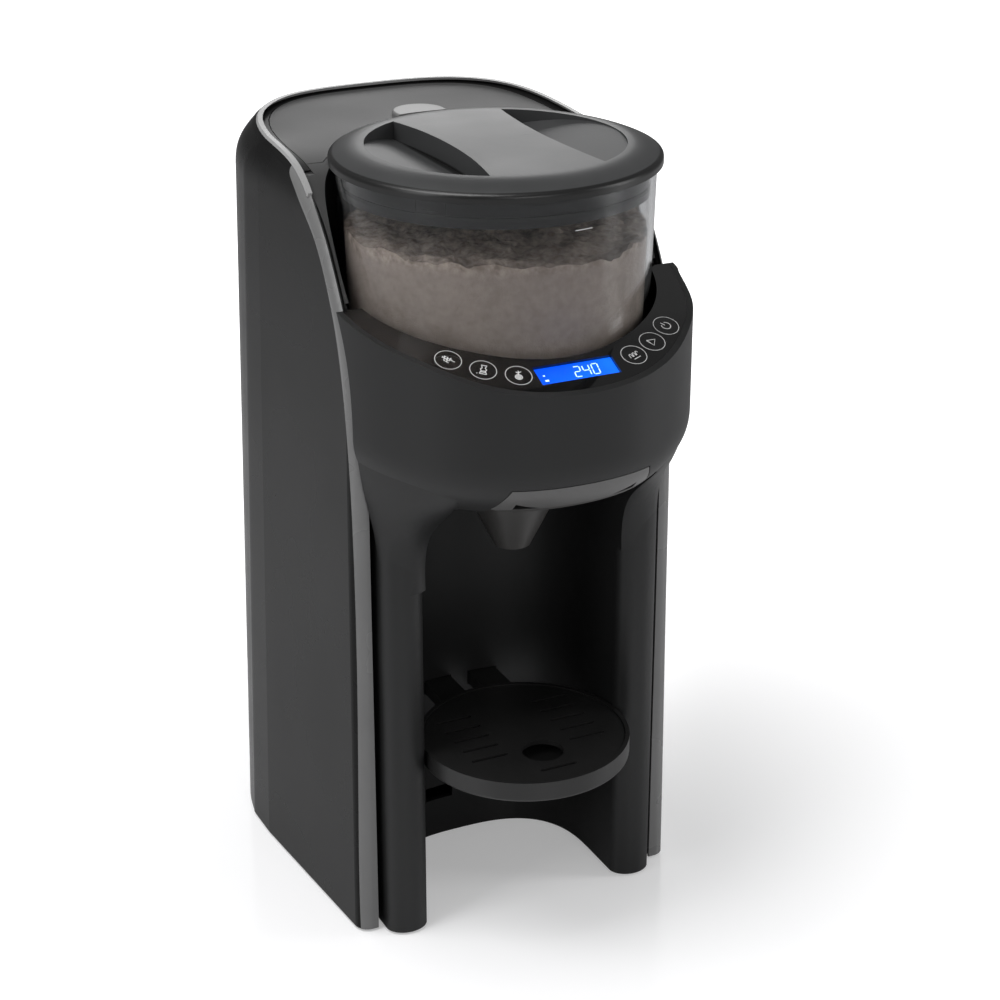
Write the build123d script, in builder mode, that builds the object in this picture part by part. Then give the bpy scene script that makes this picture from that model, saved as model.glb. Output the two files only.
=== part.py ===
"""Automatic baby formula maker.

A glossy U-shaped casing wraps a matt front housing, whose head overhangs the bottle bay.  Powder is
metered from the clear container on the head into a pull-out funnel, where warm water meets it.

Lengths are in millimetres.  +Z is up, the front faces -Y, and the origin is the middle of the
footprint on the counter.
"""

from build123d import *
from math import cos, pi, radians, sin, sqrt, tan
import os

os.makedirs("parts", exist_ok=True)

# ---------------------------------------------------------------- general fits
wall = 2.5                    # casing and housing wall
fit_gap = 0.3                 # between pieces that stand side by side
rest_gap = 0.05               # under a piece that rests on another but can move
running_gap = 0.06            # radial, between a shaft and its bore
slide_gap = 0.4               # between a drawer or lift-out piece and its guide
reach = 200.0                 # longer than the machine is wide
overcut = 1.0                 # how far a cut or a joined piece runs past the face it meets
outline_steps = 12            # points along each half of a drawn outline

# ---------------------------------------------------------------- rear casing
foot_gap = 1.2                # the rubber feet lift the casing this far
shell_half_width = 82.0       # at the foot, at the widest point
shell_lean = 0.0245           # the sides lean in as they rise
front_half_width = 74.2       # at the foot, at the front end
front_lean = 0.0048
shell_tail_length = 65.0      # widest point to back
shell_back_y = 112.0
shell_power = 3.4             # 2 is an ellipse, higher is squarer
rim_half_width = 66.4
rim_tail_length = 79.1
rim_back_y = 106.5
rim_power = 3.0
shoulder_z = 312.0            # above this the sides turn in to the rim
shoulder_steps = (300.0, 306.0, 312.0, 318.0, 324.0, 330.0, 338.0)
opening_foot_z = 324.0        # the opening in the rim goes straight down to here
rim_z = 334.0
casing_front_y = -62.0        # before the front edge is cut
edge_y = -48.4                # straight lower run of the front edge
edge_straight_z = 195.0
edge_steps = 10
edge_end_slope = 0.02         # rise of the front edge where it meets the back
edge_foot_z = -10.0           # the cut along the front edge starts under the base
edge_points = ((-48, 250), (-45.6, 264), (-39.2, 279), (-30, 294.5), (-19.5, 308.5),
               (-5.1, 319.8), (12.6, 326.2), (34, 329), (68, 331.2))
nose_radius = 6.0
nose_limit_y = -12.0          # the rounded edges start in front of this
nose_least_height = 20.0
nose_most_width = 40.0
nose_passage = 66.4           # half the clear width between the casing's thick noses
nose_depth = 12.0
well_passage_z = 225.0        # above this the passage widens for the hopper well
well_passage = 69.9           # half its width
cord_hole_radius = 7.0
cord_hole_x = 48.0
cord_hole_z = 30.0

# ---------------------------------------------------------------- trims
strip_proud = 0.25
strip_depth = 0.9
strip_points = ((-46.4, 75), (-45.6, 203), (-43, 238), (-40, 253), (-35, 270), (-27.5, 286),
                (-14.5, 304), (2, 316), (9, 320), (16.5, 325), (15.5, 330))
rim_trim_height = 1.2
rim_trim_inset = 0.5
rim_trim_front_y = -5.0
strip_wrap = 2.0              # the strips turn this far round the casing's upper edge

# ---------------------------------------------------------------- powder container and its axis
axis_y = -27.0                # the container's axis, which the head is centred on
lid_radius = 67.0
lid_edge_z = 331.0
lid_edge_height = 3.4
lid_edge_round = 1.4
lid_crown = 4.6
lid_skirt_radius = 61.8
lid_skirt_depth = 11.0
lid_wall = 2.2
recess_radius = 52.5
bar_half_width = 24.5
bar_waist = 4.5
recess_depth = 9.5
recess_rise = 1.2             # recess floor below the crown at its outer arc
crown_fall = 0.8              # the dome's fall from its middle to the recesses' outer arc
lid_shoulder_slope = 0.45     # slope of the dome just inside its rounded edge
lid_crown_slope = 0.04        # slope of the dome at the recesses' outer arc
seal_radius = 62.0
seal_inner_radius = 61.0
seal_z = 323.0
seal_height = 1.4
tub_top_radius = 64.5
tub_foot_radius = 62.0
tub_wall = 2.2
base_disc_height = 4.0
wheel_thickness = 4.0
wheel_pockets = 10
pocket_radius = 5.2
outlet_offset = 52.6          # powder outlet, in front of the axis
outlet_radius = 6.2
chute_wall = 1.0
hub_radius = 8.0
wheel_radius = 59.3
gear_holes = 6
gear_hole_radius = 8.0
gear_hole_circle = 26.0
stirrer_arms = 3
stirrer_height = 10.0
stirrer_hub_radius = 6.0
stirrer_reach = 55.0
arm_z = 247.0
arm_width = 4.0
arm_thickness = 2.4
finger_circle = 48.0
scraper_width = 22.0
scraper_thickness = 1.8
powder_top_z = 306.0

# ---------------------------------------------------------------- head and legs
head_half_width = 75.6
head_front = 85.0             # axis to the front of the head
head_power = 2.2
head_underside_z = 209.0
ceiling_thickness = 2.5
blend_low_z = 170.0           # the legs begin to widen into the head
blend_high_z = 233.0
leg_inner = 45.5
leg_outer = 64.0
leg_front_y = -50.5
leg_nose = 7.5
haunch_tuck = 1.6             # the leg's widened end lies inside the head's skin
haunch_side_tuck = 0.6        # and a little further in at its side
haunch_inset = 0.25           # extra wall where the leg's hollow widens
haunch_depth = 20.0           # front to back, inside the leg
haunch_overlap = 8.0          # the widened end begins this far down the leg
leg_depth = 26.0              # the leg's straight front to its hollow's back
seam_z = 13.2                 # joint between housing and base
bay_power = 2.8
bay_centre_y = -32.0
bay_back_y = 12.0
edge_gap = 1.2                # dark gap between housing and casing

# ---------------------------------------------------------------- control panel
panel_front_z = 262.0         # panel surface 80 mm in front of the axis
panel_front_offset = 80.0
panel_tilt = 23.27            # degrees, rising towards the back
panel_back_tilt = 11.9        # where it meets the casing
panel_turns = ((-91.0, 268.88), (-75.0, 273.72))    # y, z between which the tilt eases
panel_thickness = 2.2
panel_border = 2.4            # housing edge around the panel
panel_inner_radius = 65.5
display_width = 34.0
display_depth = 10.0
display_radius = 72.6
display_thickness = 1.2
ledge_width = 3.0
ledge_thickness = 2.0

# ---------------------------------------------------------------- hopper well, deck and tank lid
well_radius = 68.4
well_wall = 1.8
well_floor_z = 233.0
well_floor_thickness = 2.4
well_split_y = -34.0          # the well ends under the panel before this, under the deck behind it
deck_drop = 2.2               # deck surface below the casing's edge
deck_thickness = 2.4
deck_seam_y = 18.0
deck_ring_radius = 72.0
tab_width = 23.0
tab_length = 15.0
tab_thickness = 4.6
tab_edge_radius = 1.0

# ---------------------------------------------------------------- drive
chassis_z = 224.0
chassis_thickness = 2.4
chassis_half_width = 56.0
chassis_front_y = -84.0
chassis_corner = 12.0
post_radius = 4.0
post_half_pitch = 42.0
post_front_y = -62.0
post_back_y = 5.0
gear_module = 1.0
gear_teeth = 88
pinion_teeth = 22
pressure_angle = 20.0
dedendum = 1.25               # root depth in modules
gear_thickness = 3.6
gear_z = 227.6
tooth_gap = 0.12              # backlash each side
axle_radius = 3.0
axle_collar_radius = 6.0
dog_length = 12.0
dog_width = 5.0
dog_height = 4.0
motor_radius = 12.0
motor_length = 34.0
motor_shaft_radius = 1.5
motor_shaft_depth = 10.0      # shaft inside the motor
motor_ear_x = 18.0
motor_ear_width = 10.0
motor_ear_thickness = 2.0

# ---------------------------------------------------------------- funnel and water spout
mouth_offset = 15.6           # funnel mouth, in front of the container's axis
mouth_z = 169.5
mouth_radius = 7.7
cone_top_radius = 27.0
funnel_wall = 1.8
lip_half_top = 30.0
lip_half_foot = 35.0
lip_back_y = -94.0
funnel_top_z = 221.5
bowl_half_width = 28.5
bowl_top_z = 219.0
bowl_front_y = -101.0
funnel_back_y = -13.4
wing_half_width = 31.4
wing_thickness = 3.2
rail_outer_x = 37.5
rail_lip_x = 29.2
rail_thickness = 2.2
rail_front_y = -84.0
rail_back_y = -16.0
spout_half_width = 14.0
spout_front_y = -11.0
spout_back_y = 6.0
nozzle_front_y = -24.0
nozzle_half_width = 4.0
nozzle_height = 4.0
nozzle_z = 219.8
water_bore = 1.3
barb_radius = 2.0
barb_length = 6.0

# ---------------------------------------------------------------- bottle table
table_y = -55.0
table_radius = 45.3
table_top_z = 85.6
table_height = 9.2
table_rim = 1.8
grate_drop = 0.6              # grate surface below the rim
grate_thickness = 2.0
grate_shelf = 3.0
slot_length = 17.0
slot_width = 1.8
slot_rows = (-14.0, -4.7, 4.5, 13.6, 22.7)
slot_column_x = 23.0
lone_slot_offset = 33.0
drain_hole_radius = 9.0
drain_hole_offset = 18.0
tongue_half_pitch = 11.0
tongue_width = 13.0
tongue_height = 6.0
tongue_end_y = 17.0
tongue_heights = (23.0, 51.0, 79.0)

# ---------------------------------------------------------------- water side
tank_front_y = 47.5
tank_inset = 3.8              # tank wall inside the rim's opening
tank_wall = 2.2
tank_foot_z = 66.0
tank_top_z = 325.0
lid_plug_depth = 4.0
lid_plug_wall = 1.6
valve_y = 74.0
valve_boss_radius = 9.0
valve_boss_foot_z = 50.0
valve_radius = 7.0
valve_foot_z = 60.0
valve_port_radius = 1.3
valve_port_circle = 4.3
valve_ports = 6
plunger_radius = 2.0
plunger_foot_z = 51.5
plunger_head_radius = 5.6
plunger_head_height = 1.5
plunger_collar_radius = 5.0
plunger_collar_height = 1.0
spring_wire = 0.35
spring_radius = 3.6
spring_turns = 5
shelf_thickness = 3.0
shelf_leg = 5.0
shelf_leg_places = ((-46, 54), (46, 54), (-46, 84), (46, 84))
dock_radius = 13.0
dock_foot_z = 42.0
dock_floor = 2.5
dock_pin_radius = 1.6
dock_seal_z = 55.0
dock_seal_height = 2.0
hose_z = 48.0
hose_radius = 3.2
hose_bend = 8.0
spout_hose_bend = 5.5
hose_crossing_z = 78.0
hose_level_z = 218.0
hose_side_x = -26.0
pump_x = 36.0
pump_y = 31.0
pump_foot_z = 14.0
pump_motor_radius = 12.0
pump_motor_length = 28.0
pump_head_radius = 15.0
pump_head_length = 14.0
pump_mount_radius = 15.0
heater_x = -40.0
heater_y = 31.0
heater_radius = 13.0
heater_foot_z = 95.0
heater_length = 88.0
bracket_x = -62.0
bracket_thickness = 2.5
bracket_half_depth = 10.0
band_height = 8.0
band_levels = (104.0, 166.0)
thermostat_radius = 5.0
thermostat_length = 6.0
thermostat_z = 140.0

# ---------------------------------------------------------------- circuit boards and cord inlet
board_y = 17.5
board_thickness = 1.6
board_half_width = 24.0
board_low_z = 95.0
board_high_z = 175.0
board_screw_x = 18.0
board_screw_levels = (101.0, 169.0)
standoff_radius = 3.2
touch_board_thickness = 1.6
touch_board_inner_radius = 70.6
touch_board_half_angle = 50.0
display_module_width = 36.0
display_module_depth = 6.0
display_module_height = 4.0
display_module_radius = 76.6
board_blocks = (                # low x, low z, width, height, depth of each component
    (-20, 105, 18, 22, 10),
    (4, 106, 14, 14, 9),
    (-12, 134, 10, 10, 6),
    (2, 130, 16, 8, 5),
    (-18, 152, 12, 10, 8),
    (4, 148, 12, 14, 7),
)
gland_flange_radius = 9.0
gland_back_y = 111.2
gland_bore = 3.0
gland_tuck = 0.5              # the stem starts inside the flange

# ---------------------------------------------------------------- feet and screws
foot_radius = 7.0
foot_recess = 1.5
foot_places = ((-54.7, -43), (54.7, -43), (-58, 84), (58, 84))
screw_radius = 1.5
screw_hole_radius = 1.65
screw_head_radius = 2.9
screw_head_height = 1.4
base_screw_places = ((-54.7, -28), (54.7, -28), (-40, 101), (40, 101))
base_screw_length = 16.0
well_screw_length = 18.0
board_screw_length = 5.5
motor_screw_length = 5.5


def save(builder, name):
    """Label a finished piece and write it."""
    builder.part.label = name
    export_step(builder.part, f"parts/{name}.step")


def superellipse_radius(angle, half_width, half_length, power):
    """Distance from the centre of a superellipse to its edge, at an angle from +X."""
    across = abs(cos(angle) / half_width) ** power
    along = abs(sin(angle) / half_length) ** power
    return (across + along) ** (-1 / power)


# ================================================================ casing surfaces
with BuildLine() as edge_line:
    front_edge = Spline((edge_y, edge_straight_z), *edge_points, (shell_back_y, rim_z),
                        tangents=((0, 1), (1, edge_end_slope)))


def casing_outline(height, inset):
    """Plan of the casing at a height: a superellipse tail with straight tapering sides."""
    share = max(0.0, (height - shoulder_z) / (rim_z - shoulder_z)) ** 2
    side = shell_half_width - shell_lean * height
    front = front_half_width - front_lean * height
    half_width = side + (rim_half_width - side) * share - inset
    tail_length = shell_tail_length + (rim_tail_length - shell_tail_length) * share - inset
    back = shell_back_y + (rim_back_y - shell_back_y) * share - inset
    power = shell_power + (rim_power - shell_power) * share
    centre = back - tail_length
    tail = []
    for step in range(outline_steps + 1):
        angle = pi * step / outline_steps
        radius = superellipse_radius(angle, half_width, tail_length, power)
        tail.append((radius * cos(angle), centre + radius * sin(angle)))
    front_x = front + (rim_half_width - front) * share - inset
    with BuildSketch(Plane.XY.offset(height)) as outline:
        with BuildLine():
            Spline(*tail, tangents=((0, 1), (0, -1)))
            Line(tail[-1], (-front_x, casing_front_y))
            Line((-front_x, casing_front_y), (front_x, casing_front_y))
            Line((front_x, casing_front_y), tail[0])
        make_face()
    return outline.sketch


def casing_block(inset):
    """The casing's outer form as a solid, drawn in all round by an inset."""
    with BuildPart() as block:
        add(casing_outline(foot_gap, inset))
        add(casing_outline(shoulder_steps[0], inset))
        loft(ruled=True)
        for height in shoulder_steps:
            add(casing_outline(height, inset))
        loft()
    return block.part


def behind_edge(shift):
    """Everything behind the casing's S-shaped front edge, moved inwards by a shift."""
    low, back = edge_foot_z, reach
    moved = []
    for step in range(edge_steps + 1):
        point, heading = front_edge @ (step / edge_steps), front_edge % (step / edge_steps)
        moved.append((point.X + shift * heading.Y, point.Y - shift * heading.X))
    with BuildSketch(Plane.YZ.offset(-reach / 2)) as region:
        with BuildLine():
            Line((moved[0][0], low), moved[0])
            Spline(*moved, tangents=(front_edge % 0, front_edge % 1))
            Line(moved[-1], (back, moved[-1][1]))
            Line((back, moved[-1][1]), (back, low))
            Line((back, low), (moved[0][0], low))
        make_face()
    with BuildPart() as block:
        add(region.sketch)
        extrude(amount=reach, dir=(1, 0, 0))
    return block.part


def nosed_block(inset):
    """The casing's form cut to its front edge, with rounded noses."""
    with BuildPart() as block:
        add(casing_block(inset))
        add(behind_edge(inset), mode=Mode.INTERSECT)
        noses = [
            edge for edge in block.edges()
            if abs(edge.center().X) > leg_outer
            and edge.bounding_box().min.Y < nose_limit_y
            and edge.bounding_box().size.Z > nose_least_height
            and edge.bounding_box().size.X < nose_most_width
            and edge.bounding_box().max.Z < rim_z
        ]
        fillet(noses, radius=nose_radius - inset)
    return block.part


def rim_opening(inset, low):
    """The casing's mouth as a straight prism that rises from a height."""
    with BuildPart() as block:
        with BuildSketch(Plane.XY.offset(low)):
            add(casing_outline(rim_z, inset))
        extrude(amount=reach / 2)
    return block.part


# ================================================================ rear casing and trims
base_floor_z = foot_gap + wall

with BuildPart() as strip_window:
    with BuildSketch(Plane.YZ):
        with BuildLine():
            strip_foot = (strip_points[0][0], 0)
            Spline(strip_foot, *strip_points)
            Polyline(strip_points[-1], (-reach / 2, strip_points[-1][1]), (-reach / 2, 0), strip_foot)
        make_face()
    extrude(amount=reach / 2, dir=(1, 0, 0))

with BuildPart() as rim_trim:
    add(casing_block(rim_trim_inset))
    add(casing_block(wall), mode=Mode.SUBTRACT)
    add(behind_edge(0), mode=Mode.INTERSECT)
    add(behind_edge(rim_trim_height), mode=Mode.SUBTRACT)
    with BuildSketch(Plane.XY.offset(shoulder_z)):
        with Locations((0, rim_trim_front_y)):
            Rectangle(reach, 2 * reach, align=(Align.CENTER, Align.MIN))
    extrude(amount=reach, mode=Mode.INTERSECT)

with BuildPart() as strip_core:
    add(casing_block(strip_wrap))
    with BuildSketch(Plane.XY.offset(well_passage_z - overcut)):
        Rectangle(2 * reach, 2 * reach)
    extrude(amount=2 * reach, mode=Mode.INTERSECT)

with BuildPart() as edge_strip_right:
    add(nosed_block(-strip_proud))
    add(strip_window.part, mode=Mode.INTERSECT)
    with BuildSketch():
        Rectangle(2 * nose_passage + overcut, 2 * reach)
    extrude(amount=2 * reach, mode=Mode.SUBTRACT)
    add(strip_core.part, mode=Mode.SUBTRACT)
    add(nosed_block(strip_depth), mode=Mode.SUBTRACT)
    add(rim_trim.part, mode=Mode.SUBTRACT)

with BuildPart() as edge_strip_left:
    mirror(edge_strip_right.part, about=Plane.YZ)

with BuildPart() as casing_cavity:
    add(casing_block(wall))
    add(behind_edge(nose_depth), mode=Mode.INTERSECT)
    with BuildSketch(Plane.XY.offset(opening_foot_z)):
        Rectangle(reach, 3 * reach)
    extrude(amount=reach, mode=Mode.SUBTRACT)

with BuildPart() as casing_passage:
    add(casing_block(wall))
    with BuildSketch():
        Rectangle(2 * nose_passage, 2 * reach)
    extrude(amount=well_passage_z + overcut, mode=Mode.INTERSECT)

with BuildPart() as head_passage:
    add(casing_block(wall))
    with BuildSketch(Plane.XY.offset(well_passage_z)):
        Rectangle(2 * well_passage, 2 * reach)
    extrude(amount=opening_foot_z - well_passage_z, mode=Mode.INTERSECT)
    with BuildSketch(Plane.XY.offset(well_passage_z)):
        with Locations((0, axis_y)):
            Circle(well_radius + well_wall + fit_gap)
    extrude(amount=opening_foot_z - well_passage_z)

with BuildPart() as deck_recess:
    add(casing_block(wall))
    add(behind_edge(deck_drop), mode=Mode.SUBTRACT)

with BuildPart() as screw_blocks:
    for x, y in base_screw_places[2:]:
        with Locations((x, y + wall, base_floor_z)):
            Box(3 * screw_head_radius, 4 * screw_head_radius + 2 * wall, base_screw_length,
                align=(Align.CENTER, Align.CENTER, Align.MIN))
    add(casing_block(wall / 2), mode=Mode.INTERSECT)
    with BuildSketch():
        Rectangle(3 * reach, 3 * reach)
        add(casing_outline(foot_gap, 2 * wall + 2 * fit_gap), mode=Mode.SUBTRACT)
    extrude(amount=seam_z + fit_gap, dir=(0, 0, 1), mode=Mode.SUBTRACT)
    for x, y in base_screw_places[2:]:
        with Locations((x, y, base_floor_z)):
            Cylinder(screw_hole_radius, base_screw_length,
                     align=(Align.CENTER, Align.CENTER, Align.MIN), mode=Mode.SUBTRACT)

with BuildPart() as rear_casing:
    add(nosed_block(0))
    add(rim_trim.part, mode=Mode.SUBTRACT)
    for hollow in (casing_cavity, casing_passage, head_passage, deck_recess):
        add(hollow.part, mode=Mode.SUBTRACT)
    add(rim_opening(wall, opening_foot_z - overcut), mode=Mode.SUBTRACT)
    add(edge_strip_right.part, mode=Mode.SUBTRACT)
    add(edge_strip_left.part, mode=Mode.SUBTRACT)
    with BuildSketch(Plane.XZ.offset(-shell_back_y - overcut)):
        with Locations((cord_hole_x, cord_hole_z)):
            Circle(cord_hole_radius)
    extrude(amount=6 * wall, mode=Mode.SUBTRACT)
    add(screw_blocks.part)

for piece, name in (
    (rear_casing, "rear_casing"),
    (edge_strip_right, "edge_strip_right"),
    (edge_strip_left, "edge_strip_left"),
    (rim_trim, "rim_trim"),
):
    save(piece, name)

# ================================================================ head and leg forms
panel_plane = Plane(
    origin=(0, axis_y - panel_front_offset, panel_front_z),
    x_dir=(1, 0, 0),
    z_dir=(0, -sin(radians(panel_tilt)), cos(radians(panel_tilt))),
)


def leg_share(height):
    """How far the leg has widened into the head at a height, from 0 to 1."""
    rise = min(1.0, max(0.0, (height - blend_low_z) / (blend_high_z - blend_low_z)))
    return rise ** 3 * (6 * rise * rise - 15 * rise + 10)


def head_edge(x, inset=0.0):
    """Y of the head's front surface at a distance from the centre plane."""
    half_width, front = head_half_width - inset, head_front - inset
    return axis_y - front * (1 - (abs(x) / half_width) ** head_power) ** (1 / head_power)


def head_outline(height, inset):
    """Plan of the head, drawn in towards its underside."""
    undercut = (1 - leg_share(height)) * (leg_front_y - leg_nose - head_edge(leg_inner))
    half_width = head_half_width - inset - undercut
    front = head_front - inset - undercut
    arc = []
    for step in range(outline_steps + 1):
        angle = pi + pi * step / outline_steps
        radius = superellipse_radius(angle, half_width, front, head_power)
        arc.append((radius * cos(angle), axis_y + radius * sin(angle)))
    with BuildSketch(Plane.XY.offset(height)) as outline:
        with BuildLine():
            Spline(*arc, tangents=((0, -1), (0, 1)))
            Line(arc[-1], arc[0])
        make_face()
    return outline.sketch


def head_block(inset, foot_z):
    """The head from its rounded underside to above the panel."""
    steps = 5
    with BuildPart() as block:
        for step in range(steps + 1):
            add(head_outline(foot_z + (blend_high_z - foot_z) * step / steps, inset))
        loft()
        add(head_outline(blend_high_z, inset))
        extrude(amount=reach / 2, dir=(0, 0, 1))
    return block.part


def haunch_block(inset, low_z, inner):
    """The right leg's upper end, which sweeps forwards and outwards into the head."""
    steps = 6
    outer_leg = leg_outer - inset
    tuck = inset + haunch_tuck
    outer_head = head_half_width - tuck - haunch_side_tuck
    with BuildPart() as block:
        for level in range(steps + 1):
            height = low_z + (blend_high_z - low_z) * level / steps
            share = leg_share(height)
            front = []
            for step in range(steps + 1):
                turn = pi * step / steps
                leg_x = inner + (outer_leg - inner) * (1 - cos(turn)) / 2
                leg_y = leg_front_y - (leg_nose - inset) * sin(turn)
                head_x = inner + (outer_head - inner) * (1 - cos(turn)) / 2
                head_y = head_edge(head_x, tuck)
                front.append((leg_x + (head_x - leg_x) * share, leg_y + (head_y - leg_y) * share))
            back_y = leg_front_y + haunch_depth
            with BuildSketch(Plane.XY.offset(height)):
                with BuildLine():
                    Spline(*front)
                    Line(front[-1], (front[-1][0], back_y))
                    Line((front[-1][0], back_y), (inner, back_y))
                    Line((inner, back_y), front[0])
                make_face()
        loft()
    return block.part


def leg_outline(inset, back_y):
    """Plan of the right leg, open towards the inside of the machine."""
    middle = (leg_inner + leg_outer) / 2
    half_leg = (leg_outer - leg_inner) / 2 - inset
    with BuildSketch() as outline:
        with Locations((middle, (leg_front_y + back_y) / 2)):
            Rectangle(2 * half_leg, back_y - leg_front_y)
        with Locations((middle, leg_front_y)):
            Ellipse(half_leg, leg_nose - inset)
    return outline.sketch


def bay_outline(growth):
    """Plan of the bottle bay: straight sides and a rounded back."""
    half_width = leg_inner + growth
    depth = bay_back_y - bay_centre_y + growth
    arc = []
    for step in range(outline_steps + 1):
        angle = pi * step / outline_steps
        radius = superellipse_radius(angle, half_width, depth, bay_power)
        arc.append((radius * cos(angle), bay_centre_y + radius * sin(angle)))
    with BuildSketch() as outline:
        with BuildLine():
            Spline(*arc, tangents=((0, 1), (0, -1)))
            Polyline(arc[-1], (-half_width, leg_front_y), (half_width, leg_front_y), arc[0])
        make_face()
    return outline.sketch


def head_prism(inset):
    """The straight upper part of the head."""
    with BuildPart() as block:
        add(head_outline(blend_high_z, inset))
        extrude(amount=reach / 2, dir=(0, 0, 1))
    return block.part


def below_panel(drop):
    """Everything under the panel surface, which flattens towards the back, lowered by a drop."""
    turned = []
    for distance, tilt in zip(panel_turns, (panel_tilt, panel_back_tilt)):
        slope = radians(tilt)
        start = Vector(*distance) + Vector(sin(slope), -cos(slope)) * drop
        turned.append((start, Vector(cos(slope), sin(slope))))
    (front, front_heading), (back, back_heading) = turned
    low = front - front_heading * reach
    far = back + back_heading * reach
    with BuildPart() as block:
        with BuildSketch(Plane.YZ.offset(-reach / 2)):
            with BuildLine():
                Line(low, front)
                Spline(front, back, tangents=(front_heading, back_heading))
                Line(back, far)
                Polyline(far, (far.X, 0), (low.X, 0), low)
            make_face()
        extrude(amount=reach, dir=(1, 0, 0))
    return block.part


def funnel_channel(gap):
    """The trapezoid passage under the head that the funnel slides in."""
    low, high = head_underside_z - gap, funnel_top_z + gap
    with BuildPart() as block:
        with BuildSketch(Plane.XZ.offset(-(funnel_back_y + gap))):
            with BuildLine():
                Polyline((-lip_half_foot - gap, low), (lip_half_foot + gap, low),
                         (lip_half_top + gap, high), (-lip_half_top - gap, high), close=True)
            make_face()
        extrude(amount=reach)
    return block.part


# ================================================================ front housing
leg_back_y = leg_front_y + leg_depth
haunch_foot_z = blend_low_z - haunch_overlap
head_outer = head_block(0, head_underside_z)
haunch_outer = haunch_block(0, haunch_foot_z, leg_inner - wall)
haunch_inner = haunch_block(wall + haunch_inset, haunch_foot_z - overcut,
                            leg_inner + wall + fit_gap)
channel = funnel_channel(slide_gap)
post_places = [
    (x, y) for x in (-post_half_pitch, post_half_pitch) for y in (post_front_y, post_back_y)
]
board_screw_places = [
    (x, height) for x in (-board_screw_x, board_screw_x) for height in board_screw_levels
]

with BuildPart() as ledge:
    add(head_prism(wall / 2))
    add(below_panel(panel_thickness), mode=Mode.INTERSECT)
    add(below_panel(panel_thickness + ledge_thickness), mode=Mode.SUBTRACT)
    add(head_prism(wall + ledge_width), mode=Mode.SUBTRACT)
    add(behind_edge(-edge_gap), mode=Mode.SUBTRACT)

with BuildPart() as head_hollow:
    add(head_block(wall, head_underside_z + ceiling_thickness))
    add(haunch_inner)
    mirror(haunch_inner, about=Plane.YZ)

with BuildPart() as front_housing:
    add(head_outer)
    add(haunch_outer)
    mirror(haunch_outer, about=Plane.YZ)
    add(below_panel(0), mode=Mode.INTERSECT)
    add(behind_edge(-edge_gap), mode=Mode.SUBTRACT)
    with BuildSketch(Plane.XY.offset(seam_z)):
        add(leg_outline(0, leg_back_y))
        mirror(about=Plane.YZ)
    extrude(amount=head_underside_z - seam_z)
    with BuildSketch(Plane.XY.offset(seam_z)):
        add(bay_outline(wall))
    extrude(amount=head_underside_z + ceiling_thickness - seam_z)
    add(head_hollow.part, mode=Mode.SUBTRACT)
    with BuildSketch(Plane.XY.offset(seam_z)):
        add(leg_outline(wall, leg_back_y + overcut))
        mirror(about=Plane.YZ)
    extrude(amount=head_underside_z - seam_z, mode=Mode.SUBTRACT)
    with BuildSketch(Plane.XY.offset(seam_z)):
        add(bay_outline(wall))
        add(bay_outline(0), mode=Mode.SUBTRACT)
    extrude(amount=head_underside_z - seam_z)
    with BuildSketch():
        add(bay_outline(0))
        with Locations((0, leg_front_y)):
            Rectangle(2 * leg_inner, reach / 2, align=(Align.CENTER, Align.MAX))
    extrude(amount=head_underside_z, dir=(0, 0, 1), mode=Mode.SUBTRACT)
    add(channel, mode=Mode.SUBTRACT)
    with BuildSketch(Plane.XY.offset(head_underside_z + overcut)):
        with Locations(*post_places):
            Circle(post_radius)
    extrude(amount=chassis_z - head_underside_z - overcut)
    with BuildSketch(Plane.XY.offset(head_underside_z + ceiling_thickness)):
        with Locations(*post_places):
            Circle(screw_hole_radius)
    extrude(amount=chassis_z, mode=Mode.SUBTRACT)
    for x, y in base_screw_places[:2]:
        with Locations((x, y, seam_z)):
            Box(leg_outer - leg_inner - wall, 3 * screw_head_radius, base_screw_length / 2,
                align=(Align.CENTER, Align.CENTER, Align.MIN))
            Cylinder(screw_hole_radius, base_screw_length,
                     align=(Align.CENTER, Align.CENTER, Align.MIN), mode=Mode.SUBTRACT)
    with BuildSketch(Plane.XZ.offset(-board_y)):
        with Locations(*board_screw_places):
            Circle(standoff_radius)
    extrude(amount=2 * wall)
    with BuildSketch(Plane.XZ.offset(-board_y)):
        with Locations(*board_screw_places):
            Circle(screw_hole_radius)
    extrude(amount=board_screw_length, mode=Mode.SUBTRACT)
    for height in tongue_heights:
        for x in (-tongue_half_pitch, tongue_half_pitch):
            with Locations((x, bay_back_y, height)):
                Box(tongue_width + 2 * slide_gap, 4 * wall, tongue_height + 2 * slide_gap,
                    mode=Mode.SUBTRACT)
    add(ledge.part)

save(front_housing, "front_housing")


def rod(place, radius, height):
    """An upright cylinder whose foot stands at a place."""
    with BuildPart() as cylinder:
        with Locations(place):
            Cylinder(radius, height, align=(Align.CENTER, Align.CENTER, Align.MIN))
    return cylinder.part


def bar(low, high):
    """A box between its lowest and its highest corner."""
    with BuildPart() as box:
        with Locations(low):
            Box(high[0] - low[0], high[1] - low[1], high[2] - low[2],
                align=(Align.MIN, Align.MIN, Align.MIN))
    return box.part


def screws(places, length, plane):
    """Identical pan-head screws that point down the plane's axis, heads above it."""
    with BuildPart() as fasteners:
        with BuildSketch(plane):
            with Locations(*places):
                Circle(screw_head_radius)
        extrude(amount=screw_head_height)
        with BuildSketch(plane):
            with Locations(*places):
                Circle(screw_radius)
        extrude(amount=-length)
        with BuildSketch(plane.offset(screw_head_height)):
            with Locations(*places):
                Rectangle(screw_head_radius, screw_head_height / 3)
                Rectangle(screw_head_height / 3, screw_head_radius)
        extrude(amount=-screw_head_height / 2, mode=Mode.SUBTRACT)
    return fasteners


# ================================================================ base cover and feet
base_screw_z = foot_gap + screw_head_height

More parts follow.
